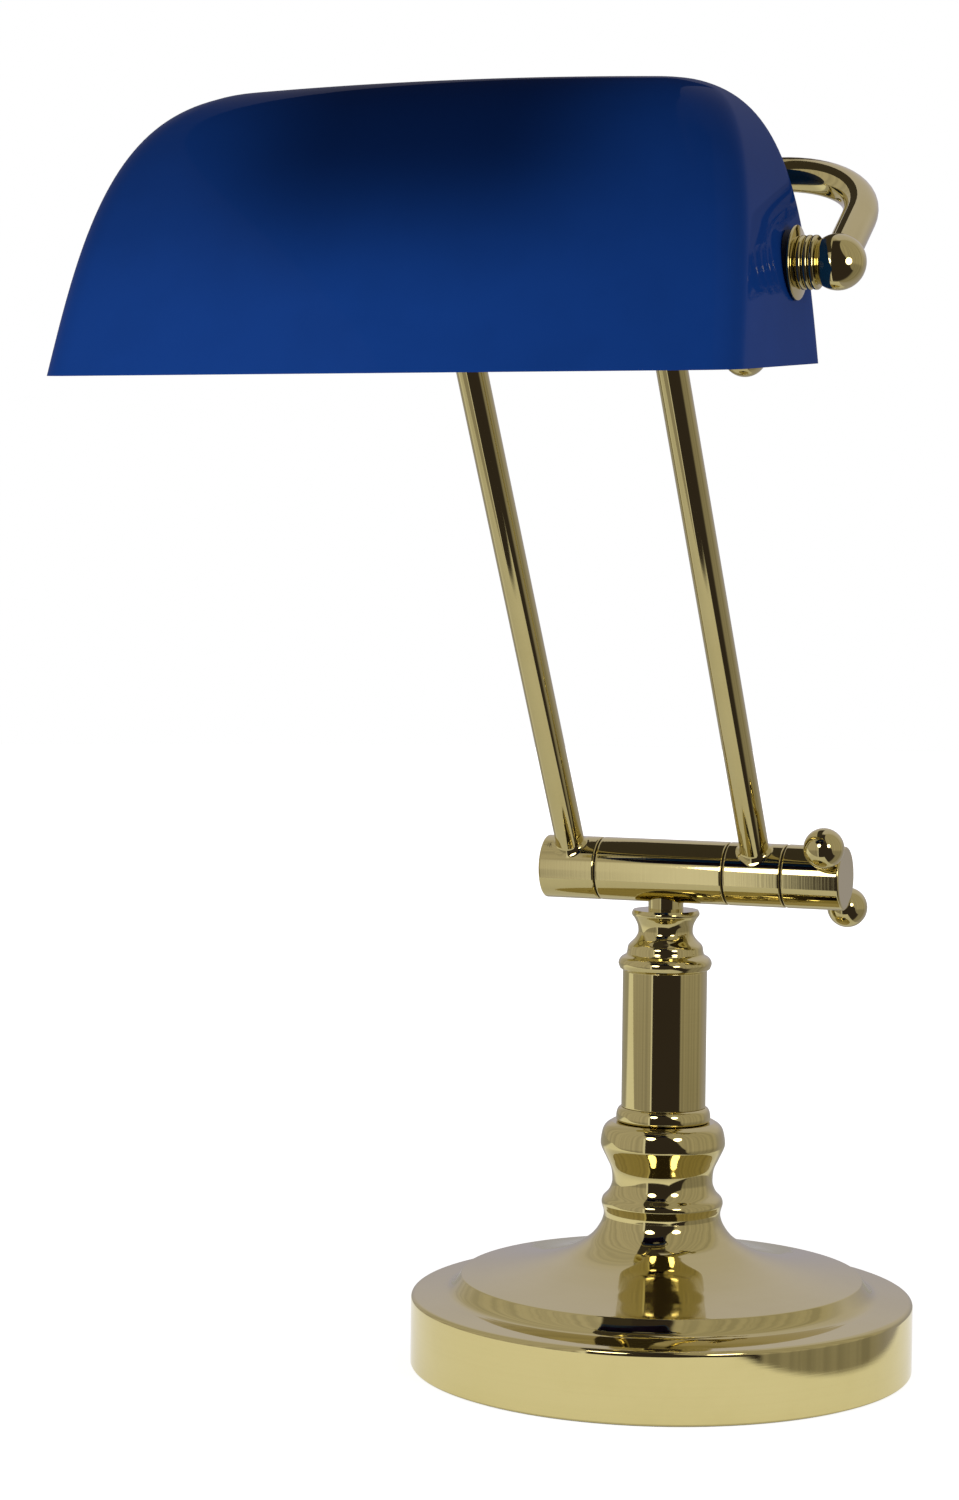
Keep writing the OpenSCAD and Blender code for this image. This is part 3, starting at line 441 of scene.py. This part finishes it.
# mesh rows from closed rings: the last row joins the first where loop is set
def ringFaces(rows, loop):
    faces = []
    pairs = list(zip(rows, rows[1:])) + ([(rows[-1], rows[0])] if loop else [])
    for low, high in pairs:
        for k in range(max(len(low), len(high))):
            below, above = ((row[k % len(row)], row[(k + 1) % len(row)]) for row in (low, high))
            face = list(dict.fromkeys(below + above[::-1]))
            if len(face) > 2:
                faces.append(face)
    return faces


# extra points near both ends of long straight stretches keep their shading flat
def held(outline, loop, near=0.35, longest=2.5):
    points = [Vector(point) for point in outline]
    line = []
    for here, ahead in zip(points, points[1:] + ([points[0]] if loop else [])):
        line.append(here)
        span = (ahead - here).length
        if span > longest:
            line += [here.lerp(ahead, near / span), ahead.lerp(here, near / span)]
    return line if loop else line + points[-1:]


def latheParts(outline, place, segments, loop):
    verts, rows = [], []
    for r, h in held(outline, loop):
        count = 1 if r < 1e-6 else segments
        rows.append(range(len(verts), len(verts) + count))
        turns = [2 * math.pi * k / count for k in range(count)]
        verts += [place @ Vector((r * math.cos(t), r * math.sin(t), h)) for t in turns]
    return verts, ringFaces(rows, loop)


def joined(*parts):
    verts, faces = [], []
    for more, sides in parts:
        faces += [[index + len(verts) for index in side] for side in sides]
        verts += more
    return verts, faces


def makeMesh(name, parts, material, angle=32):
    mesh = bpy.data.meshes.new(name)
    mesh.from_pydata([point * mm for point in parts[0]], [], parts[1])
    bm = bmesh.new()
    bm.from_mesh(mesh)
    bmesh.ops.recalc_face_normals(bm, faces=bm.faces)
    bm.to_mesh(mesh)
    bm.free()
    mesh.materials.append(material)
    mesh.polygons.foreach_set("use_smooth", [True] * len(mesh.polygons))
    mesh.set_sharp_from_angle(angle=math.radians(angle))
    return mesh


def addPiece(mesh, body, slot, *nodes):
    piece = bpy.data.objects.new(mesh.name, mesh)
    scene.collection.objects.link(piece)
    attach(piece, body)
    if nodes:
        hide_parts(*nodes)
    return piece


def lathe(name, outline, place, material, body, slot, *nodes, segments=128, loop=True):
    return addPiece(makeMesh(name, latheParts(outline, place, segments, loop), material), body, slot, *nodes)


def alongX(at, flip=False):
    return Matrix.Translation(at) @ Matrix.Rotation(math.radians(-90 if flip else 90), 4, "Y")


def leaning(at, turn):
    return Matrix.Translation(at) @ Matrix.Rotation(turn, 4, "X")


# base and stem

pipeBore = 5.05
baseSettings = {"wall": 1.2, "lift": 0.4, "rimR": 96.0, "rimHeight": 27.2, "rimRound": 1.8, "footRound": 0.8,
                "leastRound": 0.1, "ringRise": 1.2, "stepR": 84.0, "discR": 77.0, "stepHeight": 6.4,
                "discRound": 0.6, "lipTurn": (54, 8), "seatR": 22.3, "inletZ": 14.0, "inletR": 5.05,
                "inletCut": (80, 110), "segments": 224}


def baseOutline(s, inset):
    top = boxMm("base_cover")[1].z - inset
    rim, disc, step, seat = (s[key] - inset for key in ("rimR", "discR", "stepR", "seatR"))
    rimZ = s["rimHeight"] - inset
    ringZ = rimZ + s["ringRise"]
    discZ = ringZ + s["stepHeight"]
    rimRound, discRound, footRound = (max(s[key] - inset, s["leastRound"])
                                      for key in ("rimRound", "discRound", "footRound"))
    corners = [(rim - 1, s["lift"], 0), (rim, s["lift"], footRound), (rim, rimZ, rimRound), (step, ringZ, 0)]
    rimLine = filleted(corners, loop=False, steps=8)[:-1]
    crown = disc - discRound
    lip = arc((crown, discZ - discRound), discRound, *s["lipTurn"], 8)
    run, rise = step - disc, s["stepHeight"]
    flank = smoothLine([(step - across * run, ringZ + up * rise) for across, up in
                        ((0, 0), (0.3, 0.07), (0.55, 0.25), (0.8, 0.6))] + [lip[0]])[:-1]
    run, rise = crown - seat, top - discZ
    dome = smoothLine([lip[-1]] + [(crown - across * run, discZ + up * rise) for across, up in
                                   ((0.24, 0.085), (0.49, 0.2), (0.71, 0.355), (0.86, 0.545), (0.93, 0.685),
                                    (0.98, 0.86), (1, 1))])[1:]
    return rimLine + flank + lip + dome


def addBase(s):
    outline, inside = (baseOutline(s, inset) + [Vector((pipeBore, boxMm("base_cover")[1].z - inset))]
                       for inset in (0, s["wall"]))
    shell = latheParts(outline + inside[::-1], Matrix(), s["segments"], True)
    mesh = makeMesh("baseCover", shell, brassStem)
    start, end = s["inletCut"]
    rod = [(0, start), (s["inletR"], start), (s["inletR"], end), (0, end)]
    place = leaning((0, 0, s["inletZ"]), math.radians(-90))
    cutter = makeMesh("inletCutter", latheParts(rod, place, 48, False), brassStem)
    addPiece(cutHole(mesh, cutter), "stand", "polished_brass", "base_cover")


def cutHole(mesh, cutter):
    piece = bpy.data.objects.new(mesh.name, mesh)
    tool = bpy.data.objects.new("cutter", cutter)
    for thing in (piece, tool):
        scene.collection.objects.link(thing)
    cut = piece.modifiers.new("hole", "BOOLEAN")
    cut.object = tool
    cut.solver = "EXACT"
    done = bpy.data.meshes.new_from_object(piece.evaluated_get(bpy.context.evaluated_depsgraph_get()))
    name = mesh.name
    bpy.data.objects.remove(piece)
    bpy.data.objects.remove(tool)
    bpy.data.meshes.remove(mesh)
    done.name = name
    return done


addBase(baseSettings)

stemSettings = {"seat": 22.3, "foot": 23.2, "waist": 19.2, "bulge": 23.8, "collar": 18.0, "column": 16.1,
                "columnBore": 14.6, "fit": 0.05, "cap": 17.8, "throat": 10.4, "lip": 12.9, "neck": 6.7,
                "hubR": 12.05, "columnEdge": 0.25}


def stemPiece(name, outline, z, node, segments=144):
    lathe(name, outline, Matrix.Translation((0, 0, z)), brassStem, "stand", "polished_brass", node,
          segments=segments)


def addStem(s):
    low, high = boxMm("stem_baluster")
    tall = high.z - low.z
    waist, bulge, foot = s["waist"], s["bulge"], s["foot"]
    plug = s["columnBore"] - s["fit"]
    turning = [(s["seat"], 0), (s["seat"] + 0.1, 0.05), (foot - 0.3, 0.1), (foot, 0.14), (foot - 0.5, 0.19),
               (waist + 1.5, 0.25), (waist + 0.3, 0.32), (waist, 0.39), (waist + 0.5, 0.5),
               (waist + 2.3, 0.61), (bulge - 0.4, 0.72), (bulge, 0.785), (bulge - 0.7, 0.9),
               (bulge - 1.9, 0.96), (bulge - 4, 1)]
    outline = [(pipeBore, 0)] + smoothLine([(r, share * tall) for r, share in turning]) + [(pipeBore, tall)]
    stemPiece("stemBaluster", outline, low.z, "stem_baluster", segments=160)

    low, high = boxMm("stem_collar")
    columnLow, columnHigh = boxMm("column_tube")
    tall = columnLow.z - low.z
    ring = s["collar"]
    turning = [(ring - 1.2, 0), (ring - 0.3, 0.06), (ring, 0.2), (ring - 0.05, 0.5), (ring - 0.4, 0.75),
               (ring - 0.9, 0.9), (ring - 1.6, 1)]
    outline = [(pipeBore, 0)] + smoothLine([(r, share * tall) for r, share in turning], 6)
    outline += [(plug, tall), (plug, high.z - low.z), (pipeBore, high.z - low.z)]
    stemPiece("stemCollar", outline, low.z, "stem_collar")

    tall = columnHigh.z - columnLow.z
    bore, column, edge = s["columnBore"], s["column"], s["columnEdge"]
    outline = filleted([(bore, 0, 0), (column, 0, edge), (column, tall, edge), (bore, tall, 0)], steps=3)
    stemPiece("columnTube", outline, columnLow.z, "column_tube")

    low, high = boxMm("column_cap")
    tall = high.z - columnHigh.z
    cap, throat, lip = s["cap"], s["throat"], s["lip"]
    turning = [(cap - 0.6, 0.03), (cap, 0.115), (cap - 0.8, 0.2), (throat + 4.6, 0.26),
               (throat + 4.15, 0.31), (throat + 3.65, 0.41), (throat + 1.5, 0.51), (throat + 0.3, 0.59),
               (throat, 0.66), (throat + 0.35, 0.76), (lip - 1, 0.86), (lip - 0.15, 0.91), (lip, 0.95),
               (lip - 0.5, 1)]
    depth = low.z - columnHigh.z
    outline = [(pipeBore, depth), (plug, depth), (plug, 0), (column + 0.2, 0)]
    outline += smoothLine([(r, share * tall) for r, share in turning]) + [(pipeBore, tall)]
    stemPiece("columnCap", outline, columnHigh.z, "column_cap")

    # the neck's top follows the barrel above it
    neckZ = high.z
    rings = [(pipeBore, 0), (s["neck"], 0), (s["neck"], 1), (pipeBore, 1)]
    verts, faces = latheParts(rings, Matrix(), 96, True)
    for point in verts:
        top = lowerPivot.z - math.sqrt(s["hubR"] ** 2 - point.y ** 2)
        point.z = neckZ + point.z * (top - neckZ)
    addPiece(makeMesh("neckSpacer", (verts, faces), brassStem), "stand", "polished_brass", "neck_spacer")


addStem(stemSettings)

bushingSettings = {"bore": 3.5, "body": 5.0, "flange": 7.0, "flangeH": 1.6, "z": 14.0}


def addBushing(s):
    low, high = boxMm("cord_bushing")
    rim = high.y - s["flangeH"]
    outline = filleted([(s["bore"], low.y, 0.2), (s["body"], low.y, 0.3), (s["body"], rim, 0),
                        (s["flange"], rim, 0.2), (s["flange"], high.y, 0.7), (s["bore"], high.y, 0.8)])
    lathe("cordBushing", outline, leaning((0, 0, s["z"]), math.radians(-90)), brownPlastic, "stand",
          "brown_plastic", "cord_bushing", segments=64)


addBushing(bushingSettings)
print("base and stem made")

# pivot barrels, arms and clamp knobs

barrelSettings = {"radius": 12.0, "bore": 4.08, "edge": 0.5, "headR": 7.1, "headDepth": 4.5, "tubeR": 5.5,
                  "cove": 1.8, "knobEdge": 0.9, "ballR": 7.6, "ballOut": 22.0, "ballTurn": 156, "barR": 2.5,
                  "barInset": 4.0, "lowerTurn": 35, "upperTurn": 82}


def spanX(node):
    low, high = boxMm(node)
    return low.x, high.x


# small cove between a tube and the barrel that it enters, closed inside both
def coveParts(place, tubeR, barrelR, cove, segments=96, sunk=0.5):
    section = [(tubeR + cove - cove * math.cos(t), cove - cove * math.sin(t))
               for t in (math.radians(90 * k / 8) for k in range(9))]
    section += [(tubeR + cove, -sunk), (tubeR - sunk, -sunk), (tubeR - sunk, cove)]
    verts, rows = [], []
    for r, h in section:
        rows.append(range(len(verts), len(verts) + segments))
        for k in range(segments):
            t = 2 * math.pi * k / segments
            x, y = r * math.cos(t), r * math.sin(t)
            verts.append(place @ Vector((x, y, math.sqrt(barrelR ** 2 - y ** 2) + h)))
    return verts, ringFaces(rows, True)


def barrelParts(s, node, pivot, head=False):
    start, end = spanX(node)
    r, bore, edge = s["radius"], s["bore"], s["edge"]
    corners = [(bore, end, 0), (r, end, edge), (r, start, edge)]
    if head:
        seat = start + s["headDepth"]
        corners += [(s["headR"], start, 0.3), (s["headR"], seat, 0), (bore, seat, 0)]
    else:
        corners += [(bore, start, 0)]
    return latheParts(filleted(corners), alongX((0, pivot.y, pivot.z)), 128, True)


def addBarrel(s, level, pivot, lean, barTurn, hubBody):
    hub, clamp = level + "_hub", level + "_clamp"
    mesh = makeMesh(level + "Hub", barrelParts(s, hub, pivot), brassBarrel)
    addPiece(mesh, hubBody, "polished_brass", hub)
    for side in ("left", "right"):
        node = f"{level}_{side}_collar"
        middle = sum(spanX(node)) / 2
        cove = coveParts(leaning((middle, pivot.y, pivot.z), lean), s["tubeR"], s["radius"], s["cove"])
        parts = joined(barrelParts(s, node, pivot, side == "left"), cove)
        mesh = makeMesh(level + side.title() + "Collar", parts, brassBarrel)
        addPiece(mesh, "arm_frame", "polished_brass", node)

    start, end = spanX(level + "_knob")
    r = s["radius"]
    corners = [(0, start, 0), (r, start, s["edge"]), (r, end, s["knobEdge"]), (0, end, 0)]
    lathe(level + "Knob", filleted(corners, loop=False), alongX((0, pivot.y, pivot.z)), brassBarrel, clamp,
          "polished_brass", level + "_knob", loop=False)

    out, ball, bar = s["ballOut"], s["ballR"], s["barR"]
    reach = out - ball
    neck = [(bar + 0.3, reach - 0.1), (bar, reach - 0.8), (bar, reach - 1.4), (0, reach - 1.4)]
    outline = arc((0, out), ball, 0, s["ballTurn"], 40) + neck
    outline[0].x = 0
    middle = (end - s["barInset"], pivot.y, pivot.z)
    axis = [leaning(middle, math.radians(90 - barTurn + half)) for half in (0, 180)]
    balls = joined(*(latheParts(outline, place, 72, False) for place in axis))
    addPiece(makeMesh(level + "KnobBalls", balls, brassYoke), clamp, "polished_brass", level + "_knob_balls")
    rod = filleted([(0, -reach, 0), (bar, -reach, 0.3), (bar, reach, 0.3), (0, reach, 0)], loop=False)
    lathe(level + "KnobBar", rod, axis[0], brassYoke, clamp, "polished_brass", level + "_knob_bar",
          segments=48, loop=False)


addBarrel(barrelSettings, "lower", lowerPivot, armLean, barrelSettings["lowerTurn"], "stand")
addBarrel(barrelSettings, "upper", upperPivot, armLean + math.pi, barrelSettings["upperTurn"], "head")


def startTree(name, wanted, result):
    tree = bpy.data.node_groups.new(name, "GeometryNodeTree")
    for label, kind in wanted:
        tree.interface.new_socket(label, in_out="INPUT", socket_type="NodeSocket" + kind)
    tree.interface.new_socket(result, in_out="OUTPUT", socket_type="NodeSocketGeometry")
    return tree, put(tree, "NodeGroupInput").outputs


def endTree(tree, made, material, result):
    whole = put(tree, "GeometryNodeRealizeInstances", {0: made})
    coated = put(tree, "GeometryNodeSetMaterial", {"Geometry": whole.outputs[0], "Material": material})
    put(tree, "NodeGroupOutput", {result: coated.outputs[0]})
    return tree


# tube swept along a path of points, by nodes
def buildTubeNodes():
    wanted = (("Path", "Geometry"), ("Tube Radius", "Float"), ("Sides", "Int"), ("Finish", "Material"))
    tree, given = startTree("tubeAlongPath", wanted, "Tube")
    ring = put(tree, "GeometryNodeCurvePrimitiveCircle", {"Resolution": given["Sides"],
                                                          "Radius": given["Tube Radius"]})
    swept = put(tree, "GeometryNodeCurveToMesh", {"Curve": given["Path"], "Profile Curve": ring.outputs[0],
                                                  "Fill Caps": True})
    return endTree(tree, swept.outputs[0], given["Finish"], "Tube")


tubeAlongPath = buildTubeNodes()


def setInputs(modifier, values):
    for item in modifier.node_group.interface.items_tree:
        if item.in_out == "INPUT" and item.name in values:
            modifier[item.identifier] = values[item.name]


def nodeMesh(name, start, tree, values):
    scene.collection.objects.link(start)
    modifier = start.modifiers.new("make", "NODES")
    modifier.node_group = tree
    setInputs(modifier, values)
    mesh = bpy.data.meshes.new_from_object(start.evaluated_get(bpy.context.evaluated_depsgraph_get()))
    mesh.name = name
    bpy.data.objects.remove(start)
    return mesh


def tube(name, points, radius, material, body, slot, node):
    data = bpy.data.curves.new(name + "Path", "CURVE")
    data.dimensions = "3D"
    spline = data.splines.new("POLY")
    spline.points.add(len(points) - 1)
    for point, place in zip(spline.points, points):
        point.co = (place * mm).to_4d()
    mesh = nodeMesh(name, bpy.data.objects.new(name, data), tubeAlongPath,
                    {"Tube Radius": radius * mm, "Sides": 72, "Finish": material})
    mesh.polygons.foreach_set("use_smooth", [True] * len(mesh.polygons))
    mesh.set_sharp_from_angle(angle=math.radians(40))
    return addPiece(mesh, body, slot, node)


def addArms(s):
    up = Vector((0, -math.sin(armLean), math.cos(armLean)))
    for side in ("left", "right"):
        middle = Vector((sum(spanX(f"lower_{side}_collar")) / 2, 0, 0))
        ends = [lowerPivot + middle + up * share * armLength for share in (0.03, 0.97)]
        tube(side + "Arm", ends, s["tubeR"], brassArm, "arm_frame", "polished_brass", side + "_arm")


addArms(barrelSettings)
print("barrels, knobs and arms made")

# yoke and its ends

yokeSettings = {"postLength": 55.3, "postLean": 54.3, "postEnds": (7, 0.5), "reach": 60.7, "slope": 32.2,
                "bend": 33.0, "bendSteps": 16, "tubeR": 5.5, "legDepth": 5.3, "ballR": 8.6, "ballSeat": 5.7,
                "seatR": 6.6, "nutR": 8.3, "groove": 0.9, "beads": 3, "beadShare": 0.92, "flangeR": 11.4,
                "bore": 5.05}


def addYoke(s):
    lean = math.radians(s["postLean"])
    out = Vector((0, -math.sin(lean), math.cos(lean)))
    cross = upperPivot + out * s["postLength"]
    inner, outer = s["postEnds"]
    post = [upperPivot + out * inner, cross - out * outer]
    tube("yokePost", post, s["tubeR"], brassYoke, "head", "polished_brass", "yoke_post")
    slope = math.radians(s["slope"])
    down = Vector((0, -math.cos(slope), -math.sin(slope)))
    yokeX = boxMm("right_yoke_ball")[1].x - s["ballR"]
    bend, steps = s["bend"], s["bendSteps"]
    straight = yokeX - bend
    right = []
    for k in range(steps + 1):
        t = math.radians(90 * k / steps)
        right.append(cross + Vector((straight + bend * math.sin(t), 0, 0)) + down * bend * (1 - math.cos(t)))
    right.append(cross + Vector((yokeX, 0, 0)) + down * (s["reach"] - s["legDepth"]))
    flip = Vector((-1, 1, 1))
    left = [point * flip for point in right[::-1]]
    tube("yokeTube", left + right, s["tubeR"], brassYoke, "head", "polished_brass", "yoke_tube")

    for side, flipped in (("left", True), ("right", False)):
        place = Matrix.Translation(shadeAxis) @ (Matrix.Scale(-1, 4, (1, 0, 0)) if flipped else Matrix())
        place = place @ alongX((0, 0, 0))
        seat = math.degrees(math.acos(-s["ballSeat"] / s["ballR"]))
        outline = arc((0, yokeX), s["ballR"], 0, seat - 3, 40)
        outline[0].x = 0
        outline += [(s["seatR"], yokeX - s["ballSeat"]), (0, yokeX - s["ballSeat"])]
        lathe(side + "YokeBall", outline, place, brassYoke, "head", "polished_brass", side + "_yoke_ball",
              segments=96, loop=False)
        near, far = (abs(value) for value in sorted(spanX(side + "_ring_nut"), key=abs))
        wide = (far - near) / s["beads"]
        gap = (1 - s["beadShare"]) / 2
        outline = [(s["bore"], near)]
        for bead in range(s["beads"]):
            for k in range(13):
                t = math.pi * k / 12
                outline.append((s["nutR"] - s["groove"] + s["groove"] * math.sin(t) ** 0.7,
                                near + (bead + gap + s["beadShare"] * (0.5 - 0.5 * math.cos(t))) * wide))
        outline.append((s["bore"], far))
        lathe(side + "RingNut", outline, place, brassYoke, "head", "polished_brass", side + "_ring_nut",
              segments=96)
        near, far = (abs(value) for value in sorted(spanX(side + "_flange"), key=abs))
        corners = [(s["bore"], near, 0), (s["flangeR"], near, 0.2), (s["flangeR"], (near + far) / 2, 0.4),
                   (s["nutR"], far, 0.3), (s["bore"], far, 0)]
        outline = filleted(corners, steps=4)
        lathe(side + "Flange", outline, place, brassYoke, "head", "polished_brass", side + "_flange",
              segments=112)


addYoke(yokeSettings)
print("yoke made")

# lampholder and bulb

holderSettings = {"radius": 14.0, "wall": 2.2, "floor": 8.0, "bore": 5.05, "ribs": 36, "ribR": 0.5,
                  "ribLength": 9.0, "ribsProud": 0.8, "ringLength": 12.2, "bulbR": 17.5, "bulbLength": 76,
                  "neckR": 6.3}


# bars set round a ring, by nodes
def buildRibNodes():
    wanted = (("Start", "Geometry"), ("Ring Radius", "Float"), ("Ribs", "Int"), ("Rib Radius", "Float"),
              ("Rib Length", "Float"), ("Finish", "Material"))
    tree, given = startTree("ribsRoundRing", wanted, "Ribs")
    ring = put(tree, "GeometryNodeMeshCircle", {"Vertices": given["Ribs"], "Radius": given["Ring Radius"]})
    bar = put(tree, "GeometryNodeMeshCylinder", {"Vertices": 14, "Radius": given["Rib Radius"],
                                                 "Depth": given["Rib Length"]})
    bars = put(tree, "GeometryNodeInstanceOnPoints", {"Points": ring.outputs[0], "Instance": bar.outputs[0]})
    return endTree(tree, bars.outputs[0], given["Finish"], "Ribs")


def addLight(s):
    start, end = spanX("lampholder_shell")
    r, ribR, ringEnd = s["radius"], s["ribR"], start + s["ringLength"]
    ring = r - s["ribsProud"] * ribR
    mouth, floor = r - s["wall"], end - s["floor"]
    corners = [(s["bore"], end, 0), (r - 3.2, end, 1.2), (r - 1.6, end - 7, 1.0), (r - 0.9, end - 8.2, 0.6),
               (r - 0.9, ringEnd + 0.8, 0), (ring, ringEnd, 0.2), (ring, start, 0.8), (mouth, start, 0.5),
               (mouth, floor, 0), (s["bore"], floor, 0)]
    blank = bpy.data.objects.new("ribs", bpy.data.meshes.new("ribs"))
    ribs = nodeMesh("ribs", blank, buildRibNodes(),
                    {"Ring Radius": (r - ribR) * mm, "Ribs": s["ribs"], "Rib Radius": ribR * mm,
                     "Rib Length": s["ribLength"] * mm, "Finish": brownPlastic})
    place = alongX((start + s["ringLength"] / 2, shadeAxis.y, shadeAxis.z))
    points = [place @ (point.co / mm) for point in ribs.vertices]
    bars = points, [list(side.vertices) for side in ribs.polygons]
    bpy.data.meshes.remove(ribs)
    shell = latheParts(filleted(corners), alongX((0, shadeAxis.y, shadeAxis.z)), 112, True)
    mesh = makeMesh("lampholderShell", joined(shell, bars), brownPlastic)
    addPiece(mesh, "head", "brown_plastic", "lampholder_shell")
    place = alongX((boxMm("bulb_glass")[1].x, shadeAxis.y, shadeAxis.z), flip=True)
    neck, bulb, length = s["neckR"], s["bulbR"], s["bulbLength"]
    outer = smoothLine([(neck, 0), (neck + 0.4, 0.05 * length), (0.72 * bulb, 0.2 * length),
                        (bulb, 0.5 * length), (0.8 * bulb, 0.76 * length), (0.4 * bulb, 0.94 * length),
                        (0, length)])
    lathe("bulbGlass", [(0, 0)] + outer, place, opalGlass, "head", "opal_glass", "bulb_glass", segments=96,
          loop=False)


addLight(holderSettings)
print("light made")

# shade

shadeSettings = {"length": 224.0, "depth": 102.0, "height": 90.3, "crestSag": 1.2, "crestY": 80.0,
                 "crestLength": 124.0, "wall": 3.5, "corner": 11.0, "tilt": math.radians(4.1), "holeY": 71.0,
                 "holeZ": 30.8, "holeR": 5.5, "levels": 44, "ends": (0.14, 3.3), "front": (0.51, 2.9),
                 "back": (0.21, 2.6), "topShare": 0.995, "topPower": 8, "sagPower": 6, "lastShare": 0.9998,
                 "innerLast": 0.9975}


def wallShare(share, lean, power):
    return lean * (1 - share) + (1 - lean) * (1 - share ** power) ** (1 / power)


def shadeRing(s, share, inset, z, cornerSteps=12, longSteps=30, shortSteps=18):
    half = s["crestLength"] / 2 + (s["length"] - s["crestLength"]) / 2 * wallShare(share, *s["ends"]) - inset
    front = s["crestY"] * (1 - wallShare(share, *s["front"])) + inset
    back = s["crestY"] + (s["depth"] - s["crestY"]) * wallShare(share, *s["back"]) - inset
    r = min(s["corner"] - inset / 2, 0.49 * (back - front))
    centres = [(half - r, back - r), (r - half, back - r), (r - half, front + r), (half - r, front + r)]
    ring = []
    for corner, (x, y) in enumerate(centres):
        for k in range(cornerSteps + 1):
            t = math.radians(90 * (corner + k / cornerSteps))
            ring.append(Vector((x + r * math.cos(t), y + r * math.sin(t), z)))
        steps = longSteps if corner % 2 == 0 else shortSteps
        t = math.radians(90 * (corner + 1))
        nextX, nextY = centres[(corner + 1) % 4]
        begin, end = ring[-1], Vector((nextX + r * math.cos(t), nextY + r * math.sin(t), z))
        ring += [begin.lerp(end, k / steps) for k in range(1, steps)]
    for point in ring:
        point.z -= s["crestSag"] * share ** s["sagPower"] * (2 * point.x / s["crestLength"]) ** 2
    return ring


def addShade(s):
    place = leaning(shadeAxis, s["tilt"]) @ Matrix.Translation((0, -s["holeY"], -s["holeZ"]))
    shares = [s["lastShare"] * math.sin(math.pi / 2 * k / s["levels"]) for k in range(s["levels"] + 1)]
    drop = 1 - s["topShare"]
    rises = [share - drop * share ** s["topPower"] for share in shares]
    outer = [shadeRing(s, share, 0, s["height"] * rise) for share, rise in zip(shares, rises)]
    inner = [shadeRing(s, share, s["wall"], (s["height"] - s["wall"]) * rise)
             for share, rise in zip(shares, rises) if share < s["innerLast"]]
    verts, rows = [], []
    for ring in outer + inner:
        rows.append(list(range(len(verts), len(verts) + len(ring))))
        verts += [place @ point for point in ring]
    outerRows, innerRows = rows[:len(outer)], rows[len(outer):]
    faces = ringFaces(outerRows, False) + [outerRows[-1]]
    outside = len(faces)
    faces += ringFaces(innerRows, False) + [innerRows[-1]]
    inside = len(faces)
    faces += ringFaces([outerRows[0], innerRows[0]], False)
    blue, edge, lining = (cobaltGlass(name, blueSettings[low], blueSettings[high], blueSettings)
                          for name, low, high in (("blueGlass", "low", "high"), ("glassEdge", "rim", "low"),
                                                  ("glassInside", "inside", "insideShaded")))
    mesh = makeMesh("glassShade", (verts, faces), blue, 50)
    mesh.materials.append(lining)
    mesh.materials.append(edge)
    indices = [0] * outside + [1] * (inside - outside) + [2] * (len(faces) - inside)
    mesh.polygons.foreach_set("material_index", indices)
    reach = s["length"] / 2 + 20
    rod = [(0, -reach), (s["holeR"], -reach), (s["holeR"], reach), (0, reach)]
    cutter = makeMesh("holeCutter", latheParts(rod, alongX(shadeAxis), 48, False), blue)
    addPiece(cutHole(mesh, cutter), "shade", "blue_glass", "glass_shade")


addShade(shadeSettings)
print("shade made")

# finishes on the solids that stay

for node, material in (("base_weight", greyIron), ("base_felt", greenFelt), ("base_washer", zincSteel),
                       ("base_nut", zincSteel), ("centre_pipe", zincSteel), ("lower_bolt", zincSteel),
                       ("upper_bolt", zincSteel), ("lower_washers", darkFibre), ("upper_washers", darkFibre),
                       ("left_nipple", zincSteel), ("right_nipple", zincSteel), ("inner_washers", zincSteel),
                       ("lock_nuts", zincSteel), ("bulb_cap", zincSteel), ("outer_gaskets", blackRubber),
                       ("inner_gaskets", blackRubber), ("lampholder_core", creamPorcelain)):
    solid = frame["nodes"][node]
    solid.data.materials.clear()
    solid.data.materials.append(material)
print("solids dressed")
